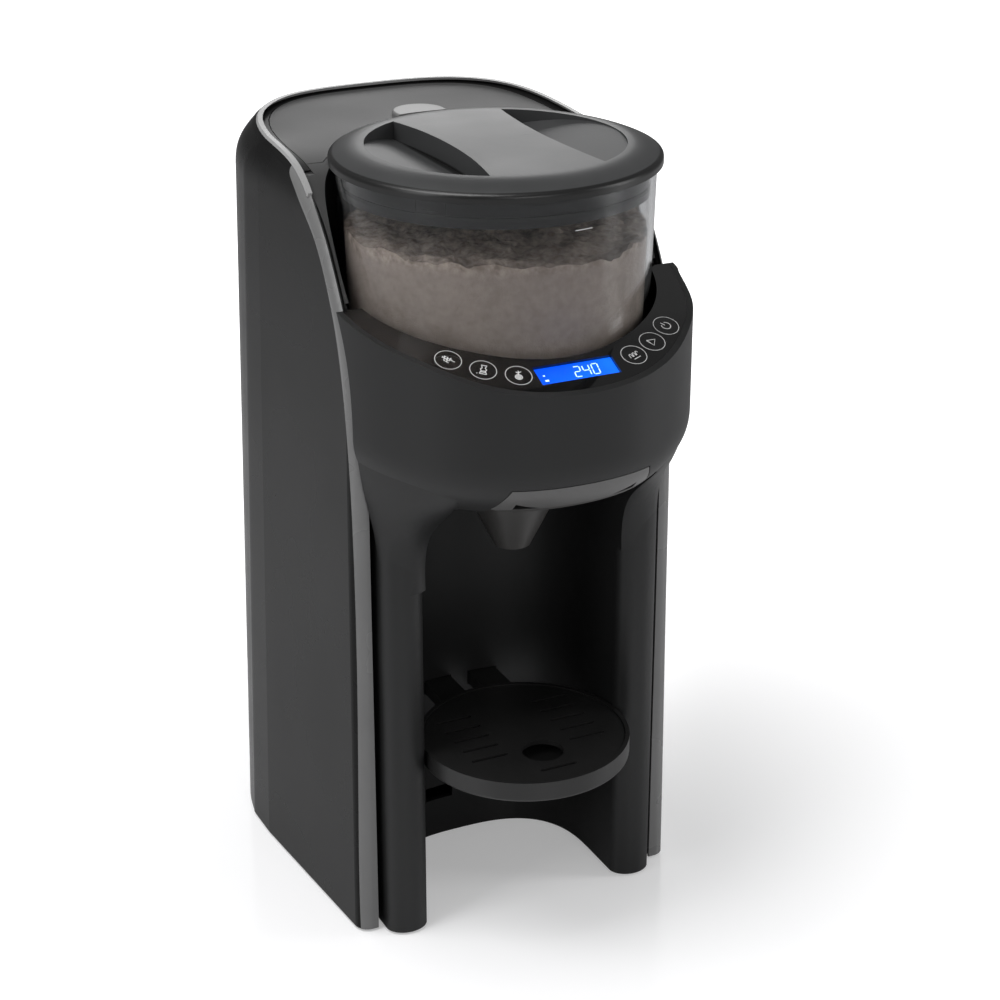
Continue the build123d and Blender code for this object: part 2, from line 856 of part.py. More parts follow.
with BuildPart() as base_cover:
    with BuildSketch(Plane.XY.offset(foot_gap)):
        add(casing_outline(foot_gap, wall + fit_gap))
        with Locations((0, edge_y + nose_depth)):
            Rectangle(2 * reach, reach, align=(Align.CENTER, Align.MAX), mode=Mode.SUBTRACT)
        with Locations((0, leg_front_y)):
            Rectangle(2 * leg_outer, 1.5 * nose_depth, align=(Align.CENTER, Align.MIN))
        add(leg_outline(0, leg_back_y))
        mirror(leg_outline(0, leg_back_y), about=Plane.YZ)
    extrude(amount=seam_z - foot_gap)
    with BuildSketch(Plane.XY.offset(base_floor_z)):
        add(casing_outline(foot_gap, 2 * wall + fit_gap))
        with Locations((0, edge_y + nose_depth + wall)):
            Rectangle(2 * reach, reach, align=(Align.CENTER, Align.MAX), mode=Mode.SUBTRACT)
        add(bay_outline(wall), mode=Mode.SUBTRACT)
    extrude(amount=seam_z, mode=Mode.SUBTRACT)
    with BuildSketch(Plane.XY.offset(base_floor_z)):
        add(leg_outline(wall, leg_back_y + nose_depth))
        mirror(about=Plane.YZ)
    extrude(amount=seam_z, mode=Mode.SUBTRACT)
    with BuildSketch():
        add(bay_outline(0))
        with Locations((0, leg_front_y)):
            Rectangle(2 * leg_inner, reach / 2, align=(Align.CENTER, Align.MAX))
    extrude(amount=2 * seam_z, dir=(0, 0, 1), mode=Mode.SUBTRACT)
    with BuildSketch(Plane.XY.offset(base_floor_z - wall / 2)):
        with Locations(*base_screw_places[:2]):
            Circle(post_radius)
    extrude(amount=seam_z - base_floor_z + wall / 2)
    with BuildSketch():
        with Locations(*foot_places):
            Circle(foot_radius + fit_gap / 2)
    extrude(amount=foot_gap + foot_recess, mode=Mode.SUBTRACT)
    with BuildSketch():
        with Locations(*base_screw_places):
            Circle(screw_hole_radius)
    extrude(amount=2 * seam_z, mode=Mode.SUBTRACT)
    with BuildSketch():
        with Locations(*base_screw_places):
            Circle(screw_head_radius + fit_gap)
    extrude(amount=base_screw_z, mode=Mode.SUBTRACT)
save(base_cover, "base_cover")

with BuildPart() as rubber_feet:
    with BuildSketch():
        with Locations(*foot_places):
            Circle(foot_radius)
    extrude(amount=foot_gap + foot_recess)
    chamfer(rubber_feet.edges().group_by(Axis.Z)[0], length=foot_gap / 2)
save(rubber_feet, "rubber_feet")

under_base = Plane(origin=(0, 0, base_screw_z), x_dir=(1, 0, 0), z_dir=(0, 0, -1))
base_screws = screws([(x, -y) for x, y in base_screw_places], base_screw_length, under_base)
save(base_screws, "base_screws")

# ================================================================ hopper well and chassis
seat_z = well_floor_z + well_floor_thickness
well_outer = well_radius + well_wall
outlet_y = axis_y - outlet_offset
well_screw_z = seat_z - screw_head_height
motor_y = axis_y + gear_module * (gear_teeth + pinion_teeth) / 2
chassis_top_z = chassis_z + chassis_thickness
chassis_back_y = motor_y + motor_radius + chassis_thickness

with BuildPart() as well_limit:
    add(below_panel(panel_thickness + fit_gap))
    with BuildSketch():
        with Locations((0, well_split_y)):
            Rectangle(2 * reach, 2 * reach, align=(Align.CENTER, Align.MAX))
    extrude(amount=2 * reach, dir=(0, 0, 1), mode=Mode.INTERSECT)
    add(behind_edge(deck_drop + deck_thickness))

with BuildPart() as hopper_well:
    with BuildSketch(Plane.XY.offset(well_floor_z)):
        with Locations((0, axis_y)):
            Circle(well_outer)
    extrude(amount=rim_z - well_floor_z)
    with BuildSketch(Plane.XY.offset(seat_z)):
        with Locations((0, axis_y)):
            Circle(well_radius)
    extrude(amount=rim_z, mode=Mode.SUBTRACT)
    add(well_limit.part, mode=Mode.INTERSECT)
    with BuildSketch(Plane.XY.offset(well_floor_z)):
        with Locations((0, axis_y)):
            Circle(hub_radius + slide_gap)
        with Locations((0, outlet_y)):
            Circle(outlet_radius)
        with Locations(*post_places):
            Circle(screw_hole_radius)
    extrude(amount=well_floor_thickness, mode=Mode.SUBTRACT)
    with BuildSketch(Plane.XY.offset(well_screw_z)):
        with Locations(*post_places):
            Circle(screw_head_radius + fit_gap)
    extrude(amount=screw_head_height, mode=Mode.SUBTRACT)
save(hopper_well, "hopper_well")

well_screws = screws(post_places, well_screw_length, Plane.XY.offset(well_screw_z))
save(well_screws, "well_screws")

with BuildPart() as gear_chassis:
    with BuildSketch(Plane.XY.offset(chassis_z)):
        with Locations((0, (chassis_back_y + chassis_front_y) / 2)):
            RectangleRounded(2 * chassis_half_width, chassis_back_y - chassis_front_y, chassis_corner)
    extrude(amount=chassis_thickness)
    with BuildSketch(Plane.XY.offset(chassis_z)):
        with Locations(*post_places):
            Circle(post_radius)
        with Locations((0, outlet_y)):
            Circle(outlet_radius + chute_wall)
    extrude(amount=well_floor_z - chassis_z)
    with BuildSketch(Plane.XY.offset(chassis_z)):
        with Locations((0, outlet_y)):
            Circle(outlet_radius)
        with Locations((0, motor_y)):
            Circle(2 * motor_shaft_radius)
        with Locations((-motor_ear_x, motor_y), (motor_ear_x, motor_y), *post_places):
            Circle(screw_hole_radius)
    extrude(amount=reach, mode=Mode.SUBTRACT)
save(gear_chassis, "gear_chassis")

with BuildPart() as gear_axle:
    add(rod((0, axis_y, chassis_top_z), axle_collar_radius, gear_z - chassis_top_z - rest_gap))
    add(rod((0, axis_y, chassis_top_z), axle_radius, seat_z - chassis_top_z - wall))
save(gear_axle, "gear_axle")


def gear_outline(teeth, half_gap):
    """Plan of a spur gear with one tooth on +X."""
    pitch_radius = gear_module * teeth / 2
    slope = tan(radians(pressure_angle)) * gear_module
    half_tooth = pi * gear_module / 4 - half_gap
    flank = (
        (pitch_radius - dedendum * gear_module, half_tooth + dedendum * slope),
        (pitch_radius + gear_module, half_tooth - slope),
    )
    points = []
    for tooth in range(teeth):
        turn = 2 * pi * tooth / teeth
        for radius, half in (flank[0], flank[1]):
            points.append((radius * cos(turn - half / radius), radius * sin(turn - half / radius)))
        for radius, half in (flank[1], flank[0]):
            points.append((radius * cos(turn + half / radius), radius * sin(turn + half / radius)))
    with BuildSketch() as outline:
        with BuildLine():
            Polyline(*points, close=True)
        make_face()
    return outline.sketch


with BuildPart() as drive_gear:
    with BuildSketch(Plane.XY.offset(gear_z)):
        with Locations((0, axis_y)):
            add(gear_outline(gear_teeth, tooth_gap))
    extrude(amount=gear_thickness)
    add(rod((0, axis_y, gear_z), hub_radius, seat_z - gear_z))
    with Locations((0, axis_y, seat_z)):
        Box(dog_length, dog_width, dog_height, align=(Align.CENTER, Align.CENTER, Align.MIN))
    add(rod((0, axis_y, gear_z), axle_radius + running_gap, seat_z - gear_z - wall / 2),
        mode=Mode.SUBTRACT)
    with BuildSketch(Plane.XY.offset(gear_z)):
        with Locations((0, axis_y)):
            with PolarLocations(gear_hole_circle, gear_holes):
                Circle(gear_hole_radius)
    extrude(amount=gear_thickness, mode=Mode.SUBTRACT)
save(drive_gear, "drive_gear")

with BuildPart() as motor_pinion:
    with BuildSketch(Plane.XY.offset(gear_z)):
        with Locations((0, motor_y)):
            add(gear_outline(pinion_teeth, tooth_gap))
            Circle(motor_shaft_radius, mode=Mode.SUBTRACT)
    extrude(amount=gear_thickness)
save(motor_pinion, "motor_pinion")

with BuildPart() as motor_shaft:
    add(rod((0, motor_y, chassis_z - motor_shaft_depth), motor_shaft_radius,
            gear_z + gear_thickness - chassis_z + motor_shaft_depth))
save(motor_shaft, "motor_shaft")

with BuildPart() as drive_motor:
    add(rod((0, motor_y, chassis_z - motor_length), motor_radius, motor_length))
    fillet(drive_motor.edges().group_by(Axis.Z)[0], radius=motor_ear_thickness)
    with BuildSketch(Plane.XY.offset(chassis_z)):
        with Locations((0, motor_y)):
            SlotOverall(2 * motor_ear_x + motor_ear_width, motor_ear_width)
    extrude(amount=-motor_ear_thickness)
    add(rod((0, motor_y, chassis_z - motor_shaft_depth - rest_gap),
            motor_shaft_radius + running_gap, motor_shaft_depth + rest_gap), mode=Mode.SUBTRACT)
    for x in (-motor_ear_x, motor_ear_x):
        add(rod((x, motor_y, chassis_z - motor_ear_thickness), screw_hole_radius,
                motor_ear_thickness), mode=Mode.SUBTRACT)
save(drive_motor, "drive_motor")

motor_screws = screws(((-motor_ear_x, motor_y), (motor_ear_x, motor_y)), motor_screw_length,
                      Plane.XY.offset(chassis_top_z))
save(motor_screws, "motor_screws")

# ================================================================ powder container
base_z = seat_z + rest_gap
tub_foot_z = base_z + base_disc_height
wheel_z = tub_foot_z + rest_gap
wheel_top_z = wheel_z + wheel_thickness
tub_top_z = lid_edge_z - rest_gap


def tub_radius(height):
    """Outer radius of the tapering tub at a height."""
    share = (height - tub_foot_z) / (tub_top_z - tub_foot_z)
    return tub_foot_radius + (tub_top_radius - tub_foot_radius) * share


def tub_cone(low_z, high_z, inset):
    """The tub's tapering form between two heights, drawn in by an inset."""
    with BuildPart() as cone:
        with Locations((0, axis_y, low_z)):
            Cone(tub_radius(low_z) - inset, tub_radius(high_z) - inset, high_z - low_z,
                 align=(Align.CENTER, Align.CENTER, Align.MIN))
    return cone.part


with BuildPart() as tub_base:
    add(rod((0, axis_y, base_z), tub_foot_radius, base_disc_height))
    add(rod((0, axis_y, base_z), hub_radius + running_gap, base_disc_height), mode=Mode.SUBTRACT)
    add(rod((0, outlet_y, base_z), outlet_radius, base_disc_height), mode=Mode.SUBTRACT)
save(tub_base, "tub_base")

with BuildPart() as powder_tub:
    add(tub_cone(tub_foot_z, tub_top_z, 0))
    add(tub_cone(tub_foot_z, tub_top_z, tub_wall), mode=Mode.SUBTRACT)
save(powder_tub, "powder_tub")

with BuildPart() as dosing_wheel:
    add(rod((0, axis_y, wheel_z), wheel_radius, wheel_thickness))
    add(rod((0, axis_y, base_z + fit_gap), hub_radius, wheel_z - base_z))
    with Locations((0, axis_y, base_z + fit_gap)):
        Box(2 * hub_radius, dog_width + 2 * fit_gap, dog_height + fit_gap,
            align=(Align.CENTER, Align.CENTER, Align.MIN), mode=Mode.SUBTRACT)
    with BuildSketch(Plane.XY.offset(wheel_z)):
        with Locations((0, axis_y)):
            with PolarLocations(outlet_offset, wheel_pockets):
                Circle(pocket_radius)
    extrude(amount=wheel_thickness, mode=Mode.SUBTRACT)
save(dosing_wheel, "dosing_wheel")

with BuildPart() as stirrer:
    add(rod((0, axis_y, wheel_top_z), stirrer_hub_radius, stirrer_height))
    with BuildSketch(Plane.XY.offset(arm_z)):
        with Locations((0, axis_y)):
            with PolarLocations(stirrer_reach / 2, stirrer_arms):
                SlotOverall(stirrer_reach, arm_width)
    extrude(amount=arm_thickness)
    with BuildSketch(Plane.XY.offset(arm_z)):
        with Locations((0, axis_y)):
            with PolarLocations(finger_circle, stirrer_arms):
                Circle(arm_width / 2)
    extrude(amount=wheel_top_z + stirrer_height - arm_z)
save(stirrer, "stirrer")

scraper_z = wheel_top_z + 2 * rest_gap

with BuildPart() as scraper:
    with BuildSketch(Plane.XY.offset(scraper_z)):
        with Locations((0, axis_y)):
            Circle(tub_radius(scraper_z) - tub_wall)
        with Locations((0, outlet_y)):
            Rectangle(scraper_width, scraper_width, mode=Mode.INTERSECT)
    extrude(amount=scraper_thickness)
save(scraper, "scraper")

with BuildPart() as powder_charge:
    add(tub_cone(scraper_z + scraper_thickness + fit_gap, powder_top_z, tub_wall + fit_gap))
    add(rod((0, axis_y, scraper_z), stirrer_reach + 2 * fit_gap,
            wheel_top_z + stirrer_height + 2 * fit_gap - scraper_z), mode=Mode.SUBTRACT)
save(powder_charge, "powder_charge")

with BuildPart() as lid_dome:
    with BuildSketch(Plane.XZ.offset(-axis_y)):
        with BuildLine():
            crown_z = lid_edge_z + lid_edge_height + lid_crown
            edge_top_z = lid_edge_z + lid_edge_height
            inner_edge = (lid_radius - lid_wall, edge_top_z - lid_wall)
            Line((lid_radius, lid_edge_z), (lid_radius, edge_top_z - lid_edge_round))
            edge_end = (lid_radius - lid_edge_round, edge_top_z + lid_edge_round / 3)
            Spline((lid_radius, edge_top_z - lid_edge_round), edge_end,
                   tangents=((0, 1), (-1, lid_shoulder_slope)))
            Spline(edge_end, (recess_radius, crown_z - crown_fall), (0, crown_z),
                   tangents=((-1, lid_shoulder_slope), (-1, lid_crown_slope), (-1, 0)))
            Line((0, crown_z), (0, crown_z - lid_wall))
            Polyline((0, crown_z - lid_wall), (recess_radius, crown_z - crown_fall - lid_wall),
                     inner_edge)
            Line(inner_edge, (inner_edge[0], lid_edge_z))
            Line((inner_edge[0], lid_edge_z), (lid_radius, lid_edge_z))
        make_face()
    revolve(axis=Axis((0, axis_y, 0), (0, 0, 1)))


def finger_recess(growth):
    """A recess beside the lid's grip bar: deep at the bar, rising to an outer arc."""
    tip_x, radius = bar_half_width - growth, recess_radius + growth
    tip_y = sqrt(radius ** 2 - tip_x ** 2)
    crown = lid_edge_z + lid_edge_height + lid_crown
    low_x = bar_half_width - bar_waist - growth
    with BuildPart() as recess:
        with BuildSketch(Plane.XY.offset(lid_edge_z - lid_skirt_depth)):
            with BuildLine():
                ThreePointArc((tip_x, axis_y - tip_y), (low_x, axis_y), (tip_x, axis_y + tip_y))
                ThreePointArc((tip_x, axis_y + tip_y), (radius, axis_y), (tip_x, axis_y - tip_y))
            make_face()
        extrude(amount=2 * lid_skirt_depth)
        with BuildSketch(Plane.XZ.offset(-axis_y - reach / 2)):
            with BuildLine():
                Polyline((0, crown - recess_depth - growth), (low_x, crown - recess_depth - growth),
                         (recess_radius, crown - recess_rise - growth), (reach, crown - growth),
                         (reach, reach * 2), (0, reach * 2), close=True)
            make_face()
        extrude(amount=reach, mode=Mode.INTERSECT)
        mirror(about=Plane.YZ)
    return recess.part


with BuildPart() as lid_pockets:
    add(finger_recess(lid_wall))
    add(rod((0, axis_y, 0), lid_radius, crown_z - 2 * crown_fall), mode=Mode.INTERSECT)

with BuildPart() as powder_lid:
    add(lid_dome.part)
    add(lid_pockets.part)
    with BuildSketch(Plane.XY.offset(lid_edge_z - lid_skirt_depth)):
        with Locations((0, axis_y)):
            Circle(lid_skirt_radius)
            Circle(lid_skirt_radius - lid_wall, mode=Mode.SUBTRACT)
    extrude(amount=lid_skirt_depth + 1.5 * lid_wall)
    with BuildSketch(Plane.XY.offset(lid_edge_z)):
        with Locations((0, axis_y)):
            Circle(lid_radius - lid_wall / 2)
            Circle(lid_skirt_radius - lid_wall / 2, mode=Mode.SUBTRACT)
    extrude(amount=lid_wall)
    add(finger_recess(0), mode=Mode.SUBTRACT)
    with BuildSketch(Plane.XY.offset(seal_z - rest_gap)):
        with Locations((0, axis_y)):
            Circle(lid_radius)
            Circle(seal_inner_radius, mode=Mode.SUBTRACT)
    extrude(amount=seal_height + 2 * rest_gap, mode=Mode.SUBTRACT)
save(powder_lid, "powder_lid")

with BuildPart() as lid_seal:
    with BuildSketch(Plane.XY.offset(seal_z)):
        with Locations((0, axis_y)):
            Circle(seal_radius)
            Circle(seal_inner_radius, mode=Mode.SUBTRACT)
    extrude(amount=seal_height)
save(lid_seal, "lid_seal")

# ================================================================ deck and tank lid
with BuildPart() as deck_space:
    add(casing_block(wall + fit_gap))
    with BuildSketch(Plane.XY.offset(opening_foot_z - overcut)):
        Rectangle(reach, 3 * reach)
    extrude(amount=reach, mode=Mode.SUBTRACT)
    add(rim_opening(wall + fit_gap, opening_foot_z - wall))
    with BuildSketch():
        Rectangle(2 * (well_passage - fit_gap), 3 * reach)
    extrude(amount=2 * reach, mode=Mode.INTERSECT)

with BuildPart() as deck_sheet:
    add(behind_edge(deck_drop))
    add(behind_edge(deck_drop + deck_thickness), mode=Mode.SUBTRACT)
    add(deck_space.part, mode=Mode.INTERSECT)
    add(rod((0, axis_y, 0), well_radius, 2 * reach), mode=Mode.SUBTRACT)
    add(below_panel(-fit_gap), mode=Mode.SUBTRACT)


def lid_region(gap):
    """Everything behind the lid's seam and outside the ring round the well."""
    with BuildPart() as block:
        with BuildSketch(Plane.XY.offset(shoulder_z)):
            with Locations((0, deck_seam_y + gap)):
                Rectangle(2 * reach, 2 * reach, align=(Align.CENTER, Align.MIN))
            with Locations((0, axis_y)):
                Circle(deck_ring_radius + gap, mode=Mode.SUBTRACT)
        extrude(amount=reach)
    return block.part


with BuildPart() as deck_collar:
    add(deck_sheet.part)
    add(lid_region(0), mode=Mode.SUBTRACT)
save(deck_collar, "deck_collar")

tab_y = axis_y + deck_ring_radius + slide_gap
tab_z = rim_z - deck_drop - deck_thickness

with BuildPart() as lid_tab:
    with BuildSketch(Plane.XY.offset(tab_z)):
        with Locations((0, tab_y + tab_length - tab_width / 2)):
            Circle(tab_width / 2)
        with Locations((0, tab_y + tab_length - tab_width / 2)):
            Rectangle(tab_width, tab_width / 2, align=(Align.CENTER, Align.MAX))
        with Locations((0, axis_y)):
            Circle(deck_ring_radius + slide_gap, mode=Mode.SUBTRACT)
    extrude(amount=tab_thickness)
    rim_edges = [
        edge for edge in lid_tab.edges().group_by(Axis.Z)[-1]
        if edge.bounding_box().max.Y > tab_y + tab_length - overcut
    ]
    fillet(rim_edges, radius=tab_edge_radius)
save(lid_tab, "lid_tab")


def tank_form(inset, low_z, high_z):
    """The tank's upright form between two heights, drawn in by an inset."""
    with BuildPart() as block:
        with BuildSketch(Plane.XY.offset(low_z)):
            add(casing_outline(rim_z, tank_inset + inset))
            with Locations((0, tank_front_y + inset)):
                Rectangle(3 * reach, 3 * reach, align=(Align.CENTER, Align.MAX), mode=Mode.SUBTRACT)
        extrude(amount=high_z - low_z)
    return block.part


with BuildPart() as lid_rim:
    add(tank_form(0, tank_top_z, rim_z))
    add(tank_form(tank_wall + slide_gap, tank_top_z - lid_plug_depth, tank_top_z))
    add(tank_form(tank_wall + slide_gap + lid_plug_wall, tank_top_z - lid_plug_depth, rim_z),
        mode=Mode.SUBTRACT)
    add(behind_edge(deck_drop + deck_thickness / 2), mode=Mode.INTERSECT)

with BuildPart() as tank_lid:
    add(deck_sheet.part)
    add(lid_region(slide_gap), mode=Mode.INTERSECT)
    add(rim_opening(wall + slide_gap, shoulder_z), mode=Mode.INTERSECT)
    add(lid_rim.part)
    add(lid_tab.part, mode=Mode.SUBTRACT)
save(tank_lid, "tank_lid")

# ================================================================ water tank and its valve
with BuildPart() as water_tank:
    add(tank_form(0, tank_foot_z, tank_top_z))
    add(tank_form(tank_wall, tank_foot_z + tank_wall, tank_top_z), mode=Mode.SUBTRACT)
    add(rod((0, valve_y, valve_boss_foot_z), valve_boss_radius, tank_foot_z - valve_boss_foot_z))
    add(rod((0, valve_y, valve_boss_foot_z), valve_radius + running_gap,
            tank_foot_z - valve_boss_foot_z), mode=Mode.SUBTRACT)
    add(rod((0, valve_y, tank_foot_z), plunger_head_radius + fit_gap, tank_wall),
        mode=Mode.SUBTRACT)
save(water_tank, "water_tank")

with BuildPart() as tank_valve:
    add(rod((0, valve_y, valve_foot_z), valve_radius, tank_foot_z - valve_foot_z))
    add(rod((0, valve_y, valve_foot_z), plunger_radius + running_gap, tank_foot_z - valve_foot_z),
        mode=Mode.SUBTRACT)
    with BuildSketch(Plane.XY.offset(valve_foot_z)):
        with Locations((0, valve_y)):
            with PolarLocations(valve_port_circle, valve_ports):
                Circle(valve_port_radius)
    extrude(amount=tank_foot_z - valve_foot_z, mode=Mode.SUBTRACT)
save(tank_valve, "tank_valve")

with BuildPart() as valve_plunger:
    add(rod((0, valve_y, plunger_foot_z), plunger_radius, tank_foot_z - plunger_foot_z + rest_gap))
    add(rod((0, valve_y, plunger_foot_z), plunger_collar_radius, plunger_collar_height))
    add(rod((0, valve_y, tank_foot_z + rest_gap), plunger_head_radius, plunger_head_height))
save(valve_plunger, "valve_plunger")

spring_foot_z = plunger_foot_z + plunger_collar_height + spring_wire
spring_height = valve_foot_z - spring_foot_z - spring_wire

with BuildPart() as valve_spring:
    with BuildLine() as coil:
        Helix(pitch=spring_height / spring_turns, height=spring_height, radius=spring_radius,
              center=(0, valve_y, spring_foot_z))
    with BuildSketch(Plane(origin=coil.line @ 0, z_dir=coil.line % 0)):
        Circle(spring_wire)
    sweep(is_frenet=True)
save(valve_spring, "valve_spring")

shelf_top_z = tank_foot_z - rest_gap
shelf_foot_z = shelf_top_z - shelf_thickness

with BuildPart() as tank_shelf:
    add(tank_form(tank_wall, shelf_foot_z, shelf_top_z))
    add(rod((0, valve_y, shelf_foot_z), valve_boss_radius + 2 * fit_gap, shelf_thickness),
        mode=Mode.SUBTRACT)
    for x, y in shelf_leg_places:
        add(rod((x, y, base_floor_z), shelf_leg, shelf_foot_z - base_floor_z))
save(tank_shelf, "tank_shelf")

with BuildPart() as tank_dock:
    add(rod((0, valve_y, dock_foot_z), dock_radius, shelf_foot_z - dock_foot_z))
    add(bar((0, valve_y - barb_radius - overcut, hose_z - barb_radius - overcut),
            (dock_radius, valve_y + barb_radius + overcut, hose_z + barb_radius + overcut)))
    add(rod((0, valve_y, dock_foot_z + dock_floor), valve_boss_radius + 2 * fit_gap,
            shelf_foot_z - dock_foot_z), mode=Mode.SUBTRACT)
    add(rod((0, valve_y, dock_foot_z), dock_pin_radius,
            plunger_foot_z - rest_gap - dock_foot_z))
    with BuildSketch(Plane.YZ.offset(dock_radius - wall)):
        with Locations((valve_y, hose_z)):
            Circle(barb_radius)
    extrude(amount=barb_length + wall, dir=(1, 0, 0))
    with BuildSketch(Plane.YZ.offset(dock_pin_radius + overcut)):
        with Locations((valve_y, hose_z)):
            Circle(water_bore)
    extrude(amount=dock_radius + barb_length, dir=(1, 0, 0), mode=Mode.SUBTRACT)
save(tank_dock, "tank_dock")

with BuildPart() as dock_seal:
    with BuildSketch(Plane.XY.offset(dock_seal_z)):
        with Locations((0, valve_y)):
            Circle(valve_boss_radius + 2 * fit_gap)
            Circle(valve_boss_radius + 2 * running_gap, mode=Mode.SUBTRACT)
    extrude(amount=dock_seal_height)
save(dock_seal, "dock_seal")

# ================================================================ pump, heater and hoses
pump_head_z = pump_foot_z + pump_motor_length
pump_top_z = pump_head_z + pump_head_length
pump_inlet_y = pump_y + pump_head_radius
heater_top_z = heater_foot_z + heater_length

with BuildPart() as pump_mount:
    add(rod((pump_x, pump_y, base_floor_z), pump_mount_radius, pump_foot_z - base_floor_z + wall))
    add(rod((pump_x, pump_y, pump_foot_z), pump_motor_radius, pump_motor_length),
        mode=Mode.SUBTRACT)
save(pump_mount, "pump_mount")

with BuildPart() as pump_motor:
    add(rod((pump_x, pump_y, pump_foot_z), pump_motor_radius, pump_motor_length))
save(pump_motor, "pump_motor")

with BuildPart() as pump_head:
    add(rod((pump_x, pump_y, pump_head_z), pump_head_radius, pump_head_length))
    add(rod((pump_x, pump_y, pump_top_z), barb_radius, barb_length))
    with BuildSketch(Plane.XZ.offset(-(pump_inlet_y + barb_length))):
        with Locations((pump_x, hose_z)):
            Circle(barb_radius)
    extrude(amount=barb_length + wall)
    add(rod((pump_x, pump_y, hose_z), water_bore, pump_head_length + barb_length),
        mode=Mode.SUBTRACT)
    with BuildSketch(Plane.XZ.offset(-(pump_inlet_y + barb_length))):
        with Locations((pump_x, hose_z)):
            Circle(water_bore)
    extrude(amount=barb_length + pump_head_radius, mode=Mode.SUBTRACT)
save(pump_head, "pump_head")

with BuildPart() as heater:
    add(rod((heater_x, heater_y, heater_foot_z), heater_radius, heater_length))
    add(rod((heater_x, heater_y, heater_foot_z - barb_length), barb_radius,
            heater_length + 2 * barb_length))
    add(rod((heater_x, heater_y, heater_foot_z - barb_length), water_bore,
            heater_length + 2 * barb_length), mode=Mode.SUBTRACT)
save(heater, "heater")

with BuildPart() as heater_bracket:
    add(bar((bracket_x, heater_y - bracket_half_depth, base_floor_z),
            (bracket_x + bracket_thickness, heater_y + bracket_half_depth,
             band_levels[-1] + band_height)))
    add(bar((bracket_x, heater_y - bracket_half_depth, base_floor_z),
            (bracket_x + 2 * band_height, heater_y + bracket_half_depth,
             base_floor_z + bracket_thickness)))
    for level in band_levels:
        add(bar((bracket_x, heater_y - band_height / 2, level),
                (heater_x - heater_radius / 2, heater_y + band_height / 2, level + band_height)))
        add(rod((heater_x, heater_y, level), heater_radius + bracket_thickness, band_height))
    add(rod((heater_x, heater_y, heater_foot_z), heater_radius, heater_length), mode=Mode.SUBTRACT)
save(heater_bracket, "heater_bracket")

with BuildPart() as thermostat:
    with BuildSketch(Plane.XZ.offset(heater_radius + thermostat_length - heater_y)):
        with Locations((heater_x, thermostat_z)):
            Circle(thermostat_radius)
    extrude(amount=-(thermostat_length + wall))
    add(rod((heater_x, heater_y, heater_foot_z), heater_radius, heater_length), mode=Mode.SUBTRACT)
save(thermostat, "thermostat")


def hose(points, bend):
    """A hose bent through points, whose ends slide over barbs."""
    with BuildPart() as tube:
        with BuildLine() as path:
            FilletPolyline(*points, radius=bend)
        with BuildSketch(Plane(origin=path.line @ 0, z_dir=path.line % 0)):
            Circle(hose_radius)
            Circle(barb_radius, mode=Mode.SUBTRACT)
        sweep()
    return tube


inlet_hose = hose(
    ((dock_radius + overcut, valve_y, hose_z), (pump_x, valve_y, hose_z),
     (pump_x, pump_inlet_y + overcut, hose_z)), hose_bend)
save(inlet_hose, "inlet_hose")

feed_hose = hose(
    ((pump_x, pump_y, pump_top_z + overcut), (pump_x, pump_y, hose_crossing_z),
     (heater_x, heater_y, hose_crossing_z), (heater_x, heater_y, heater_foot_z - overcut)),
    hose_bend)
save(feed_hose, "feed_hose")

spout_barb_y = (spout_front_y + spout_back_y) / 2
spout_hose = hose(
    ((heater_x, heater_y, heater_top_z + overcut), (heater_x, heater_y, hose_level_z),
     (hose_side_x, heater_y, hose_level_z), (hose_side_x, spout_barb_y, hose_level_z),
     (-spout_half_width - overcut, spout_barb_y, hose_level_z)), spout_hose_bend)
save(spout_hose, "spout_hose")

# ================================================================ funnel, its rails and the spout
ceiling_z = head_underside_z + ceiling_thickness
mouth_y = axis_y - mouth_offset
spout_top_z = chassis_z - fit_gap
nozzle_mid_z = nozzle_z + nozzle_height / 2


def funnel_cone(inset):
    """The funnel's cone, drawn in by an inset."""
    with BuildPart() as cone:
        with Locations((0, mouth_y, mouth_z)):
            Cone(mouth_radius - inset, cone_top_radius - inset, head_underside_z - mouth_z,
                 align=(Align.CENTER, Align.CENTER, Align.MIN))
    return cone.part


with BuildPart() as funnel_lip:
    add(funnel_channel(0))
    add(head_outer, mode=Mode.INTERSECT)
    with BuildSketch():
        with Locations((0, lip_back_y)):
            Rectangle(reach, reach, align=(Align.CENTER, Align.MAX))
    extrude(amount=2 * reach, dir=(0, 0, 1), mode=Mode.INTERSECT)

with BuildPart() as funnel:
    add(funnel_lip.part)
    add(bar((-bowl_half_width, lip_back_y - overcut, head_underside_z),
            (bowl_half_width, funnel_back_y, bowl_top_z)))
    add(bar((-wing_half_width, lip_back_y - overcut, bowl_top_z - wing_thickness),
            (wing_half_width, funnel_back_y, bowl_top_z)))
    add(funnel_cone(0))
    add(bar((funnel_wall - bowl_half_width, bowl_front_y, head_underside_z + funnel_wall),
            (bowl_half_width - funnel_wall, funnel_back_y - funnel_wall, funnel_top_z + overcut)),
        mode=Mode.SUBTRACT)
    add(funnel_cone(funnel_wall), mode=Mode.SUBTRACT)
    add(rod((0, mouth_y, head_underside_z - overcut), cone_top_radius - funnel_wall, 2 * funnel_wall),
        mode=Mode.SUBTRACT)
save(funnel, "funnel")

rail_top_z = bowl_top_z - wing_thickness - rest_gap

with BuildPart() as funnel_rails:
    add(bar((rail_outer_x - wall, rail_front_y, ceiling_z),
            (rail_outer_x, rail_back_y, rail_top_z)))
    add(bar((rail_lip_x, rail_front_y, rail_top_z - rail_thickness),
            (rail_outer_x, rail_back_y, rail_top_z)))
    mirror(about=Plane.YZ)
save(funnel_rails, "funnel_rails")

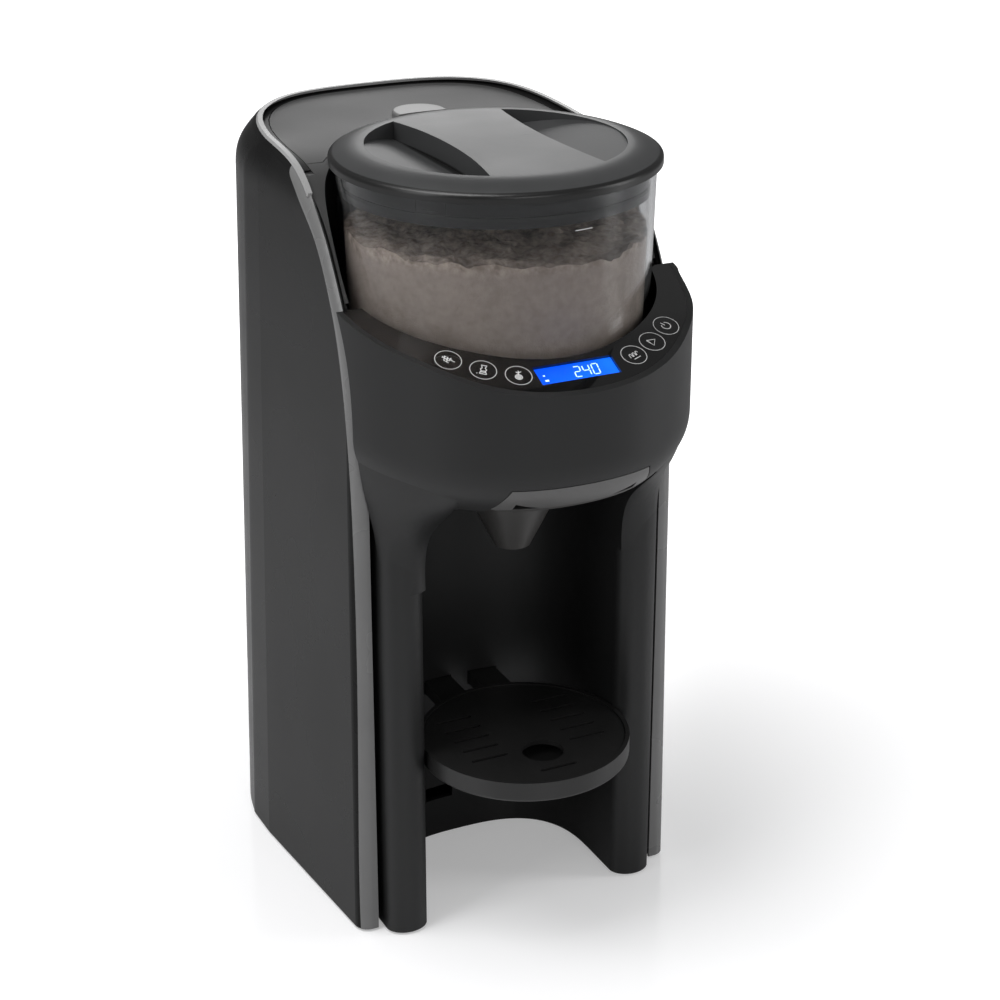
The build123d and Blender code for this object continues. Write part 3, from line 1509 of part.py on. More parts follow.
with BuildPart() as water_spout:
    add(bar((-spout_half_width, spout_front_y, ceiling_z),
            (spout_half_width, spout_back_y, spout_top_z)))
    add(bar((-nozzle_half_width, nozzle_front_y, nozzle_z),
            (nozzle_half_width, spout_front_y + overcut, nozzle_z + nozzle_height)))
    with BuildSketch(Plane.YZ.offset(-spout_half_width - barb_length)):
        with Locations((spout_barb_y, hose_level_z)):
            Circle(barb_radius)
    extrude(amount=barb_length + wall, dir=(1, 0, 0))
    with BuildSketch(Plane.YZ.offset(-spout_half_width - barb_length)):
        with Locations((spout_barb_y, hose_level_z)):
            Circle(water_bore)
    extrude(amount=spout_half_width + barb_length, dir=(1, 0, 0), mode=Mode.SUBTRACT)
    add(rod((0, spout_barb_y, hose_level_z), water_bore, nozzle_mid_z - hose_level_z),
        mode=Mode.SUBTRACT)
    with BuildSketch(Plane.XZ.offset(-spout_barb_y)):
        with Locations((0, nozzle_mid_z)):
            Circle(water_bore)
    extrude(amount=spout_barb_y - nozzle_front_y - wall, mode=Mode.SUBTRACT)
    add(rod((0, nozzle_front_y + wall, nozzle_z), water_bore, nozzle_height / 2),
        mode=Mode.SUBTRACT)
save(water_spout, "water_spout")

# ================================================================ bottle table
table_foot_z = table_top_z - table_height
grate_z = table_top_z - grate_drop - grate_thickness
grate_radius = table_radius - table_rim - fit_gap

with BuildPart() as table_cup:
    add(rod((0, table_y, table_foot_z), table_radius, table_height))
    fillet(table_cup.edges().group_by(Axis.Z)[0], radius=table_rim)
    for x in (-tongue_half_pitch, tongue_half_pitch):
        add(bar((x - tongue_width / 2, table_y + table_radius - 3 * table_rim,
                 tongue_heights[-1] - tongue_height / 2),
                (x + tongue_width / 2, tongue_end_y, tongue_heights[-1] + tongue_height / 2)))
    add(rod((0, table_y, table_foot_z + table_rim), table_radius - table_rim - grate_shelf,
            table_height), mode=Mode.SUBTRACT)
    add(rod((0, table_y, grate_z), table_radius - table_rim, table_height), mode=Mode.SUBTRACT)
save(table_cup, "table_cup")

with BuildPart() as table_grate:
    add(rod((0, table_y, grate_z), grate_radius, grate_thickness))
    with BuildSketch(Plane.XY.offset(grate_z)):
        with Locations(*[
            (x, table_y + row) for x in (-slot_column_x, slot_column_x) for row in slot_rows
        ]):
            SlotOverall(slot_length, slot_width)
        with Locations((0, table_y - lone_slot_offset)):
            SlotOverall(slot_length, slot_width)
        with Locations((0, table_y - drain_hole_offset)):
            Circle(drain_hole_radius)
    extrude(amount=grate_thickness, mode=Mode.SUBTRACT)
save(table_grate, "table_grate")

# ================================================================ control panel
panel_inset = panel_border + fit_gap / 2
display_slope = (panel_front_offset - display_radius) / cos(radians(panel_tilt))
board_drop = panel_thickness + touch_board_thickness

with BuildPart() as control_fascia:
    add(head_prism(panel_inset))
    add(below_panel(0), mode=Mode.INTERSECT)
    add(below_panel(panel_thickness), mode=Mode.SUBTRACT)
    add(rod((0, axis_y, 0), panel_inner_radius, 2 * reach), mode=Mode.SUBTRACT)
    add(behind_edge(-edge_gap), mode=Mode.SUBTRACT)
    with BuildSketch(panel_plane):
        with Locations((0, display_slope)):
            Rectangle(display_width, display_depth)
    extrude(amount=-2 * panel_thickness, mode=Mode.SUBTRACT)
save(control_fascia, "control_fascia")

with BuildPart() as lcd_window:
    with BuildSketch(panel_plane.offset(-panel_thickness)):
        with Locations((0, display_slope)):
            Rectangle(display_width - fit_gap, display_depth - fit_gap)
    extrude(amount=display_thickness)
save(lcd_window, "lcd_window")

with BuildPart() as touch_board:
    add(head_prism(wall + ledge_width + slide_gap))
    add(below_panel(panel_thickness), mode=Mode.INTERSECT)
    add(below_panel(board_drop), mode=Mode.SUBTRACT)
    add(rod((0, axis_y, 0), touch_board_inner_radius, 2 * reach), mode=Mode.SUBTRACT)
    with BuildSketch():
        with BuildLine():
            sweep_x = reach * sin(radians(touch_board_half_angle))
            sweep_y = axis_y - reach * cos(radians(touch_board_half_angle))
            Polyline((0, axis_y), (-sweep_x, sweep_y), (sweep_x, sweep_y), close=True)
        make_face()
    extrude(amount=2 * reach, dir=(0, 0, 1), mode=Mode.INTERSECT)
save(touch_board, "touch_board")

with BuildPart() as display_module:
    with BuildSketch(panel_plane.offset(-board_drop)):
        with Locations((0, (panel_front_offset - display_module_radius) / cos(radians(panel_tilt)))):
            Rectangle(display_module_width, display_module_depth)
    extrude(amount=-display_module_height)
save(display_module, "display_module")

# ================================================================ power board and cord inlet
with BuildPart() as power_board:
    add(bar((-board_half_width, board_y, board_low_z),
            (board_half_width, board_y + board_thickness, board_high_z)))
    with BuildSketch(Plane.XZ.offset(-(board_y + board_thickness))):
        with Locations(*board_screw_places):
            Circle(screw_hole_radius)
    extrude(amount=board_thickness, mode=Mode.SUBTRACT)
save(power_board, "power_board")

with BuildPart() as board_parts:
    for low_x, low_z, width, height, depth in board_blocks:
        add(bar((low_x, board_y + board_thickness, low_z),
                (low_x + width, board_y + board_thickness + depth, low_z + height)))
save(board_parts, "board_parts")

board_face = Plane(origin=(0, board_y + board_thickness, 0), x_dir=(-1, 0, 0), z_dir=(0, 1, 0))
board_screws = screws([(-x, height) for x, height in board_screw_places], board_screw_length,
                      board_face)
save(board_screws, "board_screws")

with BuildPart() as cord_gland:
    with BuildSketch(Plane.XZ.offset(-gland_back_y)):
        with Locations((cord_hole_x, cord_hole_z)):
            Circle(gland_flange_radius)
    extrude(amount=gland_back_y - shell_back_y + 3 * wall)
    add(casing_block(0), mode=Mode.SUBTRACT)
    with BuildSketch(Plane.XZ.offset(-(gland_back_y - gland_tuck))):
        with Locations((cord_hole_x, cord_hole_z)):
            Circle(cord_hole_radius - 2 * running_gap)
    extrude(amount=5 * wall)
    with BuildSketch(Plane.XZ.offset(-shell_back_y)):
        with Locations((cord_hole_x, cord_hole_z)):
            Circle(gland_bore)
    extrude(amount=reach / 4, mode=Mode.SUBTRACT)
save(cord_gland, "cord_gland")
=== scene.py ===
# %% [markdown]
# # A baby formula maker, dressed in Blender
#
# The machine's shape comes from its CAD solids, which are loaded here as a fixed frame in metres.
# Most of its pieces are crisp plastic mouldings, and for those the CAD mesh is already the right
# shape, so they only get a finish.  What CAD is poor at is modelled here: loose powder, the thin
# printing on the panel, the digits of the display and the small marks on the clear tub.

# %% Load the frame
import math

import bpy
from mathutils import Matrix, Vector


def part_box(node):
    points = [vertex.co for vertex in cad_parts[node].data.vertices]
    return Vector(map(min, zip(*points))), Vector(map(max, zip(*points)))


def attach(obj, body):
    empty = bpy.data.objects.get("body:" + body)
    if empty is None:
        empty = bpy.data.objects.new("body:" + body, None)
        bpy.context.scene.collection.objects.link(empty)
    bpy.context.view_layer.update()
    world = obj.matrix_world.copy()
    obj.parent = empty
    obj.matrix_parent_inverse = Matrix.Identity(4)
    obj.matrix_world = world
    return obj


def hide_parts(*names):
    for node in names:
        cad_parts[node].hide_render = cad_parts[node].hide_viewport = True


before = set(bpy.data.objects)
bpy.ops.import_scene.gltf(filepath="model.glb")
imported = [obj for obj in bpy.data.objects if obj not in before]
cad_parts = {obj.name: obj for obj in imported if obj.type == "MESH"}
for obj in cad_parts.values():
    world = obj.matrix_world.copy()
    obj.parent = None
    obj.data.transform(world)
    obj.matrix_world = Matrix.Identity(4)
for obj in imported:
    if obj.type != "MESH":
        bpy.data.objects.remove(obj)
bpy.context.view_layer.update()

# %% [markdown]
# ## Small helpers
#
# A finished piece keeps its place in its mesh: its object stays at the origin, so that a pattern on
# Object coordinates lies still when the body under it moves. Lengths are in metres, as everywhere
# in Blender, unless a name or a note says millimetres.


# %% Selection and placing
micron = 1e-6
millimetre = 1e-3


def clear_selection():
    """Leaves nothing selected and Blender in object mode."""
    if bpy.context.object and bpy.context.object.mode != "OBJECT":
        bpy.ops.object.mode_set(mode="OBJECT")
    bpy.ops.object.select_all(action="DESELECT")


def select_only(*pieces):
    """Selects these pieces and no others, and makes the first one active."""
    clear_selection()
    for piece in pieces:
        piece.select_set(True)
    bpy.context.view_layer.objects.active = pieces[0]


def join_pieces(pieces, name):
    """Joins several meshes into one piece and names it."""
    select_only(*pieces)
    if len(pieces) > 1:
        bpy.ops.object.join()
    joined = bpy.context.object
    joined.name = name
    joined.data.name = name
    return joined


def settle(piece, place=None):
    """Moves a piece to its place and writes that place into its mesh."""
    select_only(piece)
    if place is not None:
        piece.matrix_world = place @ piece.matrix_world
    bpy.ops.object.transform_apply(location=True, rotation=True, scale=True)
    return piece


def faces_outward(piece):
    """Merges points less than a micron apart and turns every face outwards."""
    select_only(piece)
    bpy.ops.object.mode_set(mode="EDIT")
    bpy.ops.mesh.select_all(action="SELECT")
    bpy.ops.mesh.remove_doubles(threshold=micron)
    bpy.ops.mesh.normals_make_consistent(inside=False)
    bpy.ops.object.mode_set(mode="OBJECT")


clear_selection()
print("selected now:", len(bpy.context.selected_objects))

# %% [markdown]
# ## Steps in a shader tree
#
# A finish could be drawn node by node, each time anew.  But most finishes here are chains of the same
# few steps: a noise, a stretch from one span to another, a mix, a product, a bump.  So each step is
# written once and takes the tree that it works in, because it serves node groups and materials alike.
# A noise's values crowd round a half, so it is mostly their middle span that gets stretched.


# %% Noise and stretch
middle_span = (0.35, 0.65)


def object_noise(tree, scale, detail=2.0, roughness=0.5):
    """A noise texture on Object coordinates; scale is a number or a socket."""
    where = tree.nodes.new("ShaderNodeTexCoord")
    noise = tree.nodes.new("ShaderNodeTexNoise")
    noise.inputs["Detail"].default_value = detail
    noise.inputs["Roughness"].default_value = roughness
    tree.links.new(where.outputs["Object"], noise.inputs["Vector"])
    if isinstance(scale, (int, float)):
        noise.inputs["Scale"].default_value = scale
    else:
        tree.links.new(scale, noise.inputs["Scale"])
    return noise.outputs["Fac"]


def remap(tree, value, low, high, new_low=0.0, new_high=1.0):
    """Stretches a value from one span to another, clamped."""
    node = tree.nodes.new("ShaderNodeMapRange")
    tree.links.new(value, node.inputs["Value"])
    node.inputs["From Min"].default_value = low
    node.inputs["From Max"].default_value = high
    node.inputs["To Min"].default_value = new_low
    node.inputs["To Max"].default_value = new_high
    return node.outputs["Result"]


def object_axis(tree, axis):
    """One axis of the Object coordinates: "X", "Y" or "Z"."""
    where = tree.nodes.new("ShaderNodeTexCoord")
    split = tree.nodes.new("ShaderNodeSeparateXYZ")
    tree.links.new(where.outputs["Object"], split.inputs["Vector"])
    return split.outputs[axis]


print("steps ready: noise, stretch, axis")


# %% Mix, product and bump
def typed_socket(sockets, name, kind):
    """One socket of a Mix node, which has an A, a B and a Result for every kind of value."""
    return next(socket for socket in sockets if socket.name == name and socket.type == kind)


def mixed(tree, factor, first, second, data_type, kind):
    """A mix of two sockets or plain values."""
    node = tree.nodes.new("ShaderNodeMix")
    node.data_type = data_type
    tree.links.new(factor, node.inputs["Factor"])
    for name, source in (("A", first), ("B", second)):
        socket = typed_socket(node.inputs, name, kind)
        if isinstance(source, tuple):
            socket.default_value = source
        else:
            tree.links.new(source, socket)
    return typed_socket(node.outputs, "Result", kind)


def mixed_colour(tree, factor, first, second):
    """A colour between two: each may be a socket or a plain colour."""
    return mixed(tree, factor, first, second, "RGBA", "RGBA")


def mixed_value(tree, factor, first, second):
    """A number between two sockets."""
    return mixed(tree, factor, first, second, "FLOAT", "VALUE")


def product(tree, first, second):
    """The product of two number sockets."""
    node = tree.nodes.new("ShaderNodeMath")
    node.operation = "MULTIPLY"
    tree.links.new(first, node.inputs[0])
    tree.links.new(second, node.inputs[1])
    return node.outputs["Value"]


def add_bump(tree, shader, height, depth):
    """Bumps a shader by a height from 0 to 1, over a depth in metres."""
    bump = tree.nodes.new("ShaderNodeBump")
    bump.inputs["Distance"].default_value = depth
    tree.links.new(height, bump.inputs["Height"])
    tree.links.new(bump.outputs["Normal"], shader.inputs["Normal"])


print("steps ready: mixed colour, mixed value, product, bump")

# %% [markdown]
# ## The grain of moulded plastic
#
# A plastic moulding is never one flat colour.  Spark-eroded tools leave a fine matt grain, hands and
# cloths polish some patches more than others, and dust settles on what faces up.  The first node
# group makes the grain and the patches for every plastic here, and the second one adds the dust.
# Both read Object coordinates, in metres, so a scale of 900 means a feature of about a millimetre.


# %% The group for grain and patches
def new_group(name, inputs, outputs):
    """An empty shader node group with named sockets and its two end nodes."""
    group = bpy.data.node_groups.new(name, "ShaderNodeTree")
    for label, kind, value in inputs:
        socket = group.interface.new_socket(label, in_out="INPUT", socket_type=kind)
        socket.default_value = value
    for label, kind in outputs:
        group.interface.new_socket(label, in_out="OUTPUT", socket_type=kind)
    return group, group.nodes.new("NodeGroupInput"), group.nodes.new("NodeGroupOutput")


grain_group, grain_in, grain_out = new_group(
    "moulding_grain",
    [
        ("Deep Colour", "NodeSocketColor", (0.02, 0.02, 0.02, 1)),
        ("Pale Colour", "NodeSocketColor", (0.04, 0.04, 0.04, 1)),
        ("Polished", "NodeSocketFloat", 0.4),
        ("Matt", "NodeSocketFloat", 0.6),
        ("Grain Scale", "NodeSocketFloat", 900.0),
        ("Patch Scale", "NodeSocketFloat", 14.0),
    ],
    [("Colour", "NodeSocketColor"), ("Roughness", "NodeSocketFloat"), ("Height", "NodeSocketFloat")],
)
patch_noise = object_noise(grain_group, grain_in.outputs["Patch Scale"], detail=4)
patches = remap(grain_group, patch_noise, *middle_span)
grain = object_noise(grain_group, grain_in.outputs["Grain Scale"], detail=3, roughness=0.6)
patch_colour = mixed_colour(grain_group, patches, grain_in.outputs["Deep Colour"],
                            grain_in.outputs["Pale Colour"])
patch_roughness = mixed_value(grain_group, patches, grain_in.outputs["Polished"],
                              grain_in.outputs["Matt"])
grain_group.links.new(patch_colour, grain_out.inputs["Colour"])
grain_group.links.new(patch_roughness, grain_out.inputs["Roughness"])
grain_group.links.new(grain, grain_out.inputs["Height"])
print("group:", grain_group.name, "nodes:", len(grain_group.nodes))

# %% [markdown]
# Dust lies on faces that look up.  The world normal's Z gives that mask, and a coarse noise breaks it
# up.  It is kept very faint, because a kitchen machine is wiped often.

# %% The group for settled dust
dust_group, dust_in, dust_out = new_group(
    "settled_dust",
    [
        ("Colour", "NodeSocketColor", (0.05, 0.05, 0.05, 1)),
        ("Dust Colour", "NodeSocketColor", (0.3, 0.29, 0.28, 1)),
        ("Amount", "NodeSocketFloat", 0.04),
    ],
    [("Colour", "NodeSocketColor")],
)
facing = dust_group.nodes.new("ShaderNodeNewGeometry")
upward = dust_group.nodes.new("ShaderNodeSeparateXYZ")
dust_group.links.new(facing.outputs["Normal"], upward.inputs["Vector"])
faces_up = remap(dust_group, upward.outputs["Z"], 0.55, 1.0)
speckle = remap(dust_group, object_noise(dust_group, 60.0, detail=5, roughness=0.65), 0.4, 0.75)
dust_mask = product(dust_group, product(dust_group, faces_up, speckle), dust_in.outputs["Amount"])
dusty_colour = mixed_colour(dust_group, dust_mask, dust_in.outputs["Colour"],
                            dust_in.outputs["Dust Colour"])
dust_group.links.new(dusty_colour, dust_out.inputs["Colour"])
print("group:", dust_group.name, "nodes:", len(dust_group.nodes))

# %% [markdown]
# ## Plastics
#
# One function builds every moulded plastic from the two groups.  What differs between them
# is their colours, how polished or matt they are, and how coarse and deep their grain is.  The gloss
# itself stays on the shader's own sockets.


# %% A plastic from the two groups
def place_group(material, group, **values):
    """Puts a node group in a material and sets its inputs."""
    node = material.node_tree.nodes.new("ShaderNodeGroup")
    node.node_tree = group
    for label, value in values.items():
        node.inputs[label.replace("_", " ")].default_value = value
    return node


def new_material(name):
    """A material with its Principled shader."""
    material = bpy.data.materials.new(name)
    material.use_nodes = True
    return material, material.node_tree.nodes["Principled BSDF"]


def grey(value, warmth=0.0):
    """A grey with a slight cast: warm above 0, cool below."""
    return (value * (1 + warmth), value, value * (1 - warmth), 1)


def moulded_plastic(name, deep, pale, polished, matt, grain_scale=900.0, depth=20 * micron,
                    dust=0.03, coat=0.0, coat_roughness=0.05, specular=0.5):
    """A plastic between two colours and two roughnesses, with a grain of a scale and a depth."""
    material, shader = new_material(name)
    tree = material.node_tree
    moulding = place_group(material, grain_group, Deep_Colour=deep, Pale_Colour=pale,
                           Polished=polished, Matt=matt, Grain_Scale=grain_scale)
    settled = place_group(material, dust_group, Amount=dust)
    tree.links.new(moulding.outputs["Colour"], settled.inputs["Colour"])
    tree.links.new(settled.outputs["Colour"], shader.inputs["Base Color"])
    tree.links.new(moulding.outputs["Roughness"], shader.inputs["Roughness"])
    add_bump(tree, shader, moulding.outputs["Height"], depth)
    shader.inputs["Specular IOR Level"].default_value = specular
    shader.inputs["Coat Weight"].default_value = coat
    shader.inputs["Coat Roughness"].default_value = coat_roughness
    return material


print("plastics are built from:", grain_group.name, "and", dust_group.name)

# %% [markdown]
# The casing and the panel are polished, the housing, the deck and the table are spark-eroded, and the
# strips, the trim and the tab are satin.  All but the inner mouldings are dark, so their greys lie
# close together, and it is mostly the roughness that tells one from another.

# %% The plastics outside
casing_gloss = moulded_plastic("casing_gloss", grey(0.006), grey(0.01), polished=0.24, matt=0.32,
                               grain_scale=500, depth=6 * micron, dust=0.004, specular=0.12)
housing_matt = moulded_plastic("housing_matt", grey(0.0115, -0.02), grey(0.0145, -0.02),
                               polished=0.44, matt=0.52, dust=0.01, specular=0.4)
deck_matt = moulded_plastic("deck_matt", grey(0.04), grey(0.048), polished=0.36, matt=0.44,
                            dust=0.012)
strip_satin = moulded_plastic("strip_satin", grey(0.14), grey(0.165), polished=0.22, matt=0.3,
                              grain_scale=400, depth=8 * micron)
trim_satin = moulded_plastic("trim_satin", grey(0.3), grey(0.35), polished=0.25, matt=0.32,
                             grain_scale=400, depth=8 * micron)
lid_matt = moulded_plastic("lid_matt", grey(0.04, -0.02), grey(0.05, -0.02), polished=0.3,
                           matt=0.38, dust=0.015)
tab_satin = moulded_plastic("tab_satin", grey(0.15), grey(0.18), polished=0.3, matt=0.38)
panel_gloss = moulded_plastic("panel_gloss", grey(0.003), grey(0.004), polished=0.06, matt=0.1,
                              grain_scale=300, depth=2 * micron, dust=0.005, coat=1.0,
                              coat_roughness=0.03)
funnel_smooth = moulded_plastic("funnel_smooth", grey(0.05, 0.03), grey(0.06, 0.03), polished=0.32,
                                matt=0.4, grain_scale=600, depth=10 * micron)
table_matt = moulded_plastic("table_matt", grey(0.011), grey(0.014), polished=0.36, matt=0.45,
                             dust=0.012)
print("plastics outside:", len(bpy.data.materials))

# %% The plastics and rubbers inside
inner_white = moulded_plastic("inner_white", grey(0.62, 0.01), grey(0.68, 0.01), polished=0.4,
                              matt=0.5)
gear_acetal = moulded_plastic("gear_acetal", grey(0.68, 0.03), grey(0.74, 0.03), polished=0.3,
                              matt=0.38)
component_black = moulded_plastic("component_black", grey(0.015), grey(0.02), polished=0.4, matt=0.5)
foot_rubber = moulded_plastic("foot_rubber", grey(0.014), grey(0.02), polished=0.7, matt=0.85,
                              grain_scale=1500, depth=40 * micron)
seal_rubber = moulded_plastic("seal_rubber", grey(0.02), grey(0.028), polished=0.55, matt=0.65,
                              grain_scale=1500)
board_green = moulded_plastic("board_green", (0.01, 0.12, 0.05, 1), (0.015, 0.16, 0.07, 1),
                              polished=0.3, matt=0.4, grain_scale=700, depth=30 * micron)
print("plastics in all:", len(bpy.data.materials))

# %% [markdown]
# ## Second colours: painted shade and a painted highlight
#
# The lid is one moulding, but its rim and skirt get painted shade, darker than its flat disc, and the
# funnel's lip gets a painted highlight, paler than its cone.  Cutting the meshes up would be one way.
# A mask from the
# Object coordinates is simpler, because both edges lie at a fixed height or radius.  The heights and
# the radius are measured from the tops and the side of the CAD boxes.


# %% Where the painted shade and the painted highlight begin
tub_low, tub_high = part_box("powder_tub")
container_y = (tub_low.y + tub_high.y) / 2
lid_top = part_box("powder_lid")[1]
funnel_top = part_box("funnel")[1]
disc_radius = lid_top.x - 1.8 * millimetre
disc_foot = lid_top.z - 8.5 * millimetre
lip_foot = funnel_top.z - 11 * millimetre
mask_edge = 0.2 * millimetre
# painted shade for the lid's rim and skirt, darker than its disc
skirt_painted_shade = grey(0.01)
# a painted highlight for the funnel's lip, paler than its cone
lip_painted_highlight = grey(0.1, 0.01)
print("container's axis at y =", round(container_y / millimetre, 3), "mm")


# %% Masks by radius and by height
def tinted_where(material, mask, colour):
    """Lays a second colour over a moulded plastic where a mask of its own tree is 1: here painted shade
    or a painted highlight.
    """
    tree = material.node_tree
    base = tree.nodes["Principled BSDF"].inputs["Base Color"]
    present = base.links[0].from_socket
    tree.links.new(mixed_colour(tree, mask, present, colour), base)


def outside_radius(tree, radius):
    """A mask that is 1 farther than a radius from the container's axis."""
    where = tree.nodes.new("ShaderNodeTexCoord")
    from_axis = tree.nodes.new("ShaderNodeVectorMath")
    from_axis.operation = "MULTIPLY_ADD"
    from_axis.inputs[1].default_value = (1, 1, 0)
    from_axis.inputs[2].default_value = (0, -container_y, 0)
    tree.links.new(where.outputs["Object"], from_axis.inputs[0])
    distance = tree.nodes.new("ShaderNodeVectorMath")
    distance.operation = "LENGTH"
    tree.links.new(from_axis.outputs["Vector"], distance.inputs[0])
    return remap(tree, distance.outputs["Value"], radius - mask_edge, radius + mask_edge)


def above_height(tree, height, below=0.0, above=1.0):
    """A mask that changes at a height."""
    z = object_axis(tree, "Z")
    return remap(tree, z, height - mask_edge, height + mask_edge, below, above)


lid_tree = lid_matt.node_tree
funnel_tree = funnel_smooth.node_tree
# painted shade on the lid's rim and on its skirt below the disc
tinted_where(lid_matt, outside_radius(lid_tree, disc_radius), skirt_painted_shade)
tinted_where(lid_matt, above_height(lid_tree, disc_foot, below=1.0, above=0.0), skirt_painted_shade)
# painted highlight on the funnel's lip
tinted_where(funnel_smooth, above_height(funnel_tree, lip_foot), lip_painted_highlight)
print("lid's disc within", round(disc_radius / millimetre, 1), "mm of its axis and above",
      round(disc_foot / millimetre, 1), "mm; funnel's lip above", round(lip_foot / millimetre, 1), "mm")

# %% [markdown]
# ## Clear plastics and hose
#
# Clear pieces keep a plain Transmission Weight, and only their roughness and a faint bump change over
# the surface: wiping leaves a haze of fine scratches.  The tub is nearly colourless and the tank is
# smoky.  The tub's IOR is lower than real plastic's, so that its wall bends and mirrors less.


# %% Clear plastics
def clear_plastic(name, colour, haze, ior=1.49):
    """A clear plastic or silicone: haze is its roughness where it is clearest."""
    material, shader = new_material(name)
    tree = material.node_tree
    wiped = remap(tree, object_noise(tree, 35.0, detail=4, roughness=0.6), 0.35, 0.7,
                  haze, haze + 0.05)
    tree.links.new(wiped, shader.inputs["Roughness"])
    scratches = object_noise(tree, 1400.0)
    add_bump(tree, shader, scratches, 2 * micron)
    shader.inputs["Base Color"].default_value = colour
    shader.inputs["Transmission Weight"].default_value = 1.0
    shader.inputs["IOR"].default_value = ior
    return material


tub_clear = clear_plastic("tub_clear", (0.93, 0.94, 0.95, 1), haze=0.02, ior=1.22)
tank_smoke = clear_plastic("tank_smoke", (0.55, 0.58, 0.6, 1), haze=0.05)
hose_silicone = clear_plastic("hose_silicone", (0.85, 0.84, 0.8, 1), haze=0.35, ior=1.41)
print("clear plastics:", tub_clear.name, tank_smoke.name, hose_silicone.name)

# %% [markdown]
# ## Metals
#
# Rolling and brushing leave fine lines that all run one way.  An image of scratches could show them,
# but a noise that is stretched along one axis needs no image and has no edges.

# %% Metals
line_scale = 1500.0
brushed_along = (1.0, 1.0, 0.05)


def brushed_metal(name, deep, pale, polished, matt):
    """A metal with lines along Z, which change its colour, its roughness and its height."""
    material, shader = new_material(name)
    tree = material.node_tree
    where = tree.nodes.new("ShaderNodeTexCoord")
    stretch = tree.nodes.new("ShaderNodeMapping")
    stretch.inputs["Scale"].default_value = brushed_along
    tree.links.new(where.outputs["Object"], stretch.inputs["Vector"])
    lines = tree.nodes.new("ShaderNodeTexNoise")
    lines.inputs["Scale"].default_value = line_scale
    lines.inputs["Detail"].default_value = 3.0
    tree.links.new(stretch.outputs["Vector"], lines.inputs["Vector"])
    shade = mixed_colour(tree, lines.outputs["Fac"], deep, pale)
    tree.links.new(shade, shader.inputs["Base Color"])
    roughness = remap(tree, lines.outputs["Fac"], 0.3, 0.7, polished, matt)
    tree.links.new(roughness, shader.inputs["Roughness"])
    add_bump(tree, shader, lines.outputs["Fac"], 8 * micron)
    shader.inputs["Metallic"].default_value = 1.0
    return material


steel = brushed_metal("steel", grey(0.5), grey(0.62), polished=0.25, matt=0.4)
motor_can = brushed_metal("motor_can", grey(0.45, 0.03), grey(0.55, 0.03), polished=0.2, matt=0.3)
heater_steel = brushed_metal("heater_steel", grey(0.5, -0.02), grey(0.6, -0.02), polished=0.22,
                             matt=0.35)
print("metals:", steel.name, motor_can.name, heater_steel.name)

# %% [markdown]
# ## Display and printing
#
# The display is a backlit blue sheet.  It glows by itself and never quite evenly, so its light is an
# emission with soft patches.  The digits glow nearly white.  The printing is a thin ink, so it gets
# the same groups as the plastics, with the finest grain and no dust.


# %% Display and printing
def glowing(name, dim, bright, scale):
    """A backlit sheet between two colours, in patches of a scale."""
    material, shader = new_material(name)
    tree = material.node_tree
    uneven = remap(tree, object_noise(tree, scale, detail=1), *middle_span)
    shade = mixed_colour(tree, uneven, dim, bright)
    tree.links.new(shade, shader.inputs["Emission Color"])
    tree.links.new(shade, shader.inputs["Base Color"])
    shader.inputs["Emission Strength"].default_value = 1.0
    shader.inputs["Roughness"].default_value = 0.25
    return material


display_blue = glowing("display_blue", (0.0, 0.055, 0.6, 1), (0.004, 0.12, 0.85, 1), scale=40.0)
digit_glow = glowing("digit_glow", (0.45, 0.7, 1.0, 1), (0.7, 0.88, 1.0, 1), scale=90.0)
white_print = moulded_plastic("white_print", grey(0.62), grey(0.72), polished=0.5, matt=0.6,
                              grain_scale=2500, depth=5 * micron, dust=0)
print("display:", display_blue.name, digit_glow.name, "printing:", white_print.name)

# %% [markdown]
# ## Finishes on the CAD nodes
#
# Each CAD node takes the finish of its piece.  Nothing is moved: only the material slots change.

# %% Assign the finishes
finishes = {
    casing_gloss: ["rear_casing"],
    housing_matt: ["front_housing", "base_cover", "hopper_well", "tub_base"],
    deck_matt: ["deck_collar", "tank_lid"],
    strip_satin: ["edge_strip_right", "edge_strip_left"],
    trim_satin: ["rim_trim"],
    lid_matt: ["powder_lid"],
    tab_satin: ["lid_tab"],
    panel_gloss: ["control_fascia"],
    funnel_smooth: ["funnel"],
    table_matt: ["table_cup", "table_grate"],
    inner_white: ["gear_chassis", "stirrer", "tank_valve", "tank_shelf", "tank_dock",
                  "heater_bracket", "funnel_rails", "water_spout"],
    gear_acetal: ["drive_gear", "motor_pinion", "dosing_wheel"],
    component_black: ["pump_head", "thermostat", "display_module", "board_parts"],
    foot_rubber: ["rubber_feet", "pump_mount", "cord_gland"],
    seal_rubber: ["lid_seal", "dock_seal", "valve_plunger"],
    board_green: ["touch_board", "power_board"],
    tub_clear: ["powder_tub"],
    tank_smoke: ["water_tank"],
    hose_silicone: ["inlet_hose", "feed_hose", "spout_hose"],
    steel: ["base_screws", "well_screws", "gear_axle", "motor_shaft", "motor_screws", "scraper",
            "valve_spring", "board_screws"],
    motor_can: ["drive_motor", "pump_motor"],
    heater_steel: ["heater"],
    display_blue: ["lcd_window"],
}


def dress(piece, material):
    """Gives every slot of a piece one material, adding a slot where there is none."""
    if not piece.material_slots:
        piece.data.materials.append(material)
    for material_slot in piece.material_slots:
        material_slot.material = material


dressed = 0
for material, names in finishes.items():
    for name in names:
        dress(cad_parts[name], material)
        dressed += 1
print("CAD nodes with a finish:", dressed, "of", len(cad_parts))

# %% [markdown]
# ## The powder
#
# Formula powder lies smooth and pale where it is pressed against the tub's wall and breaks into
# crumbs on top.  It starts as a circle that is extruded up the wall and then inwards in rings, all
# fine enough to displace.  The rings on top shrink evenly, and one face closes the small last one.
# The wall keeps its radius, so the powder stays inside the tub.

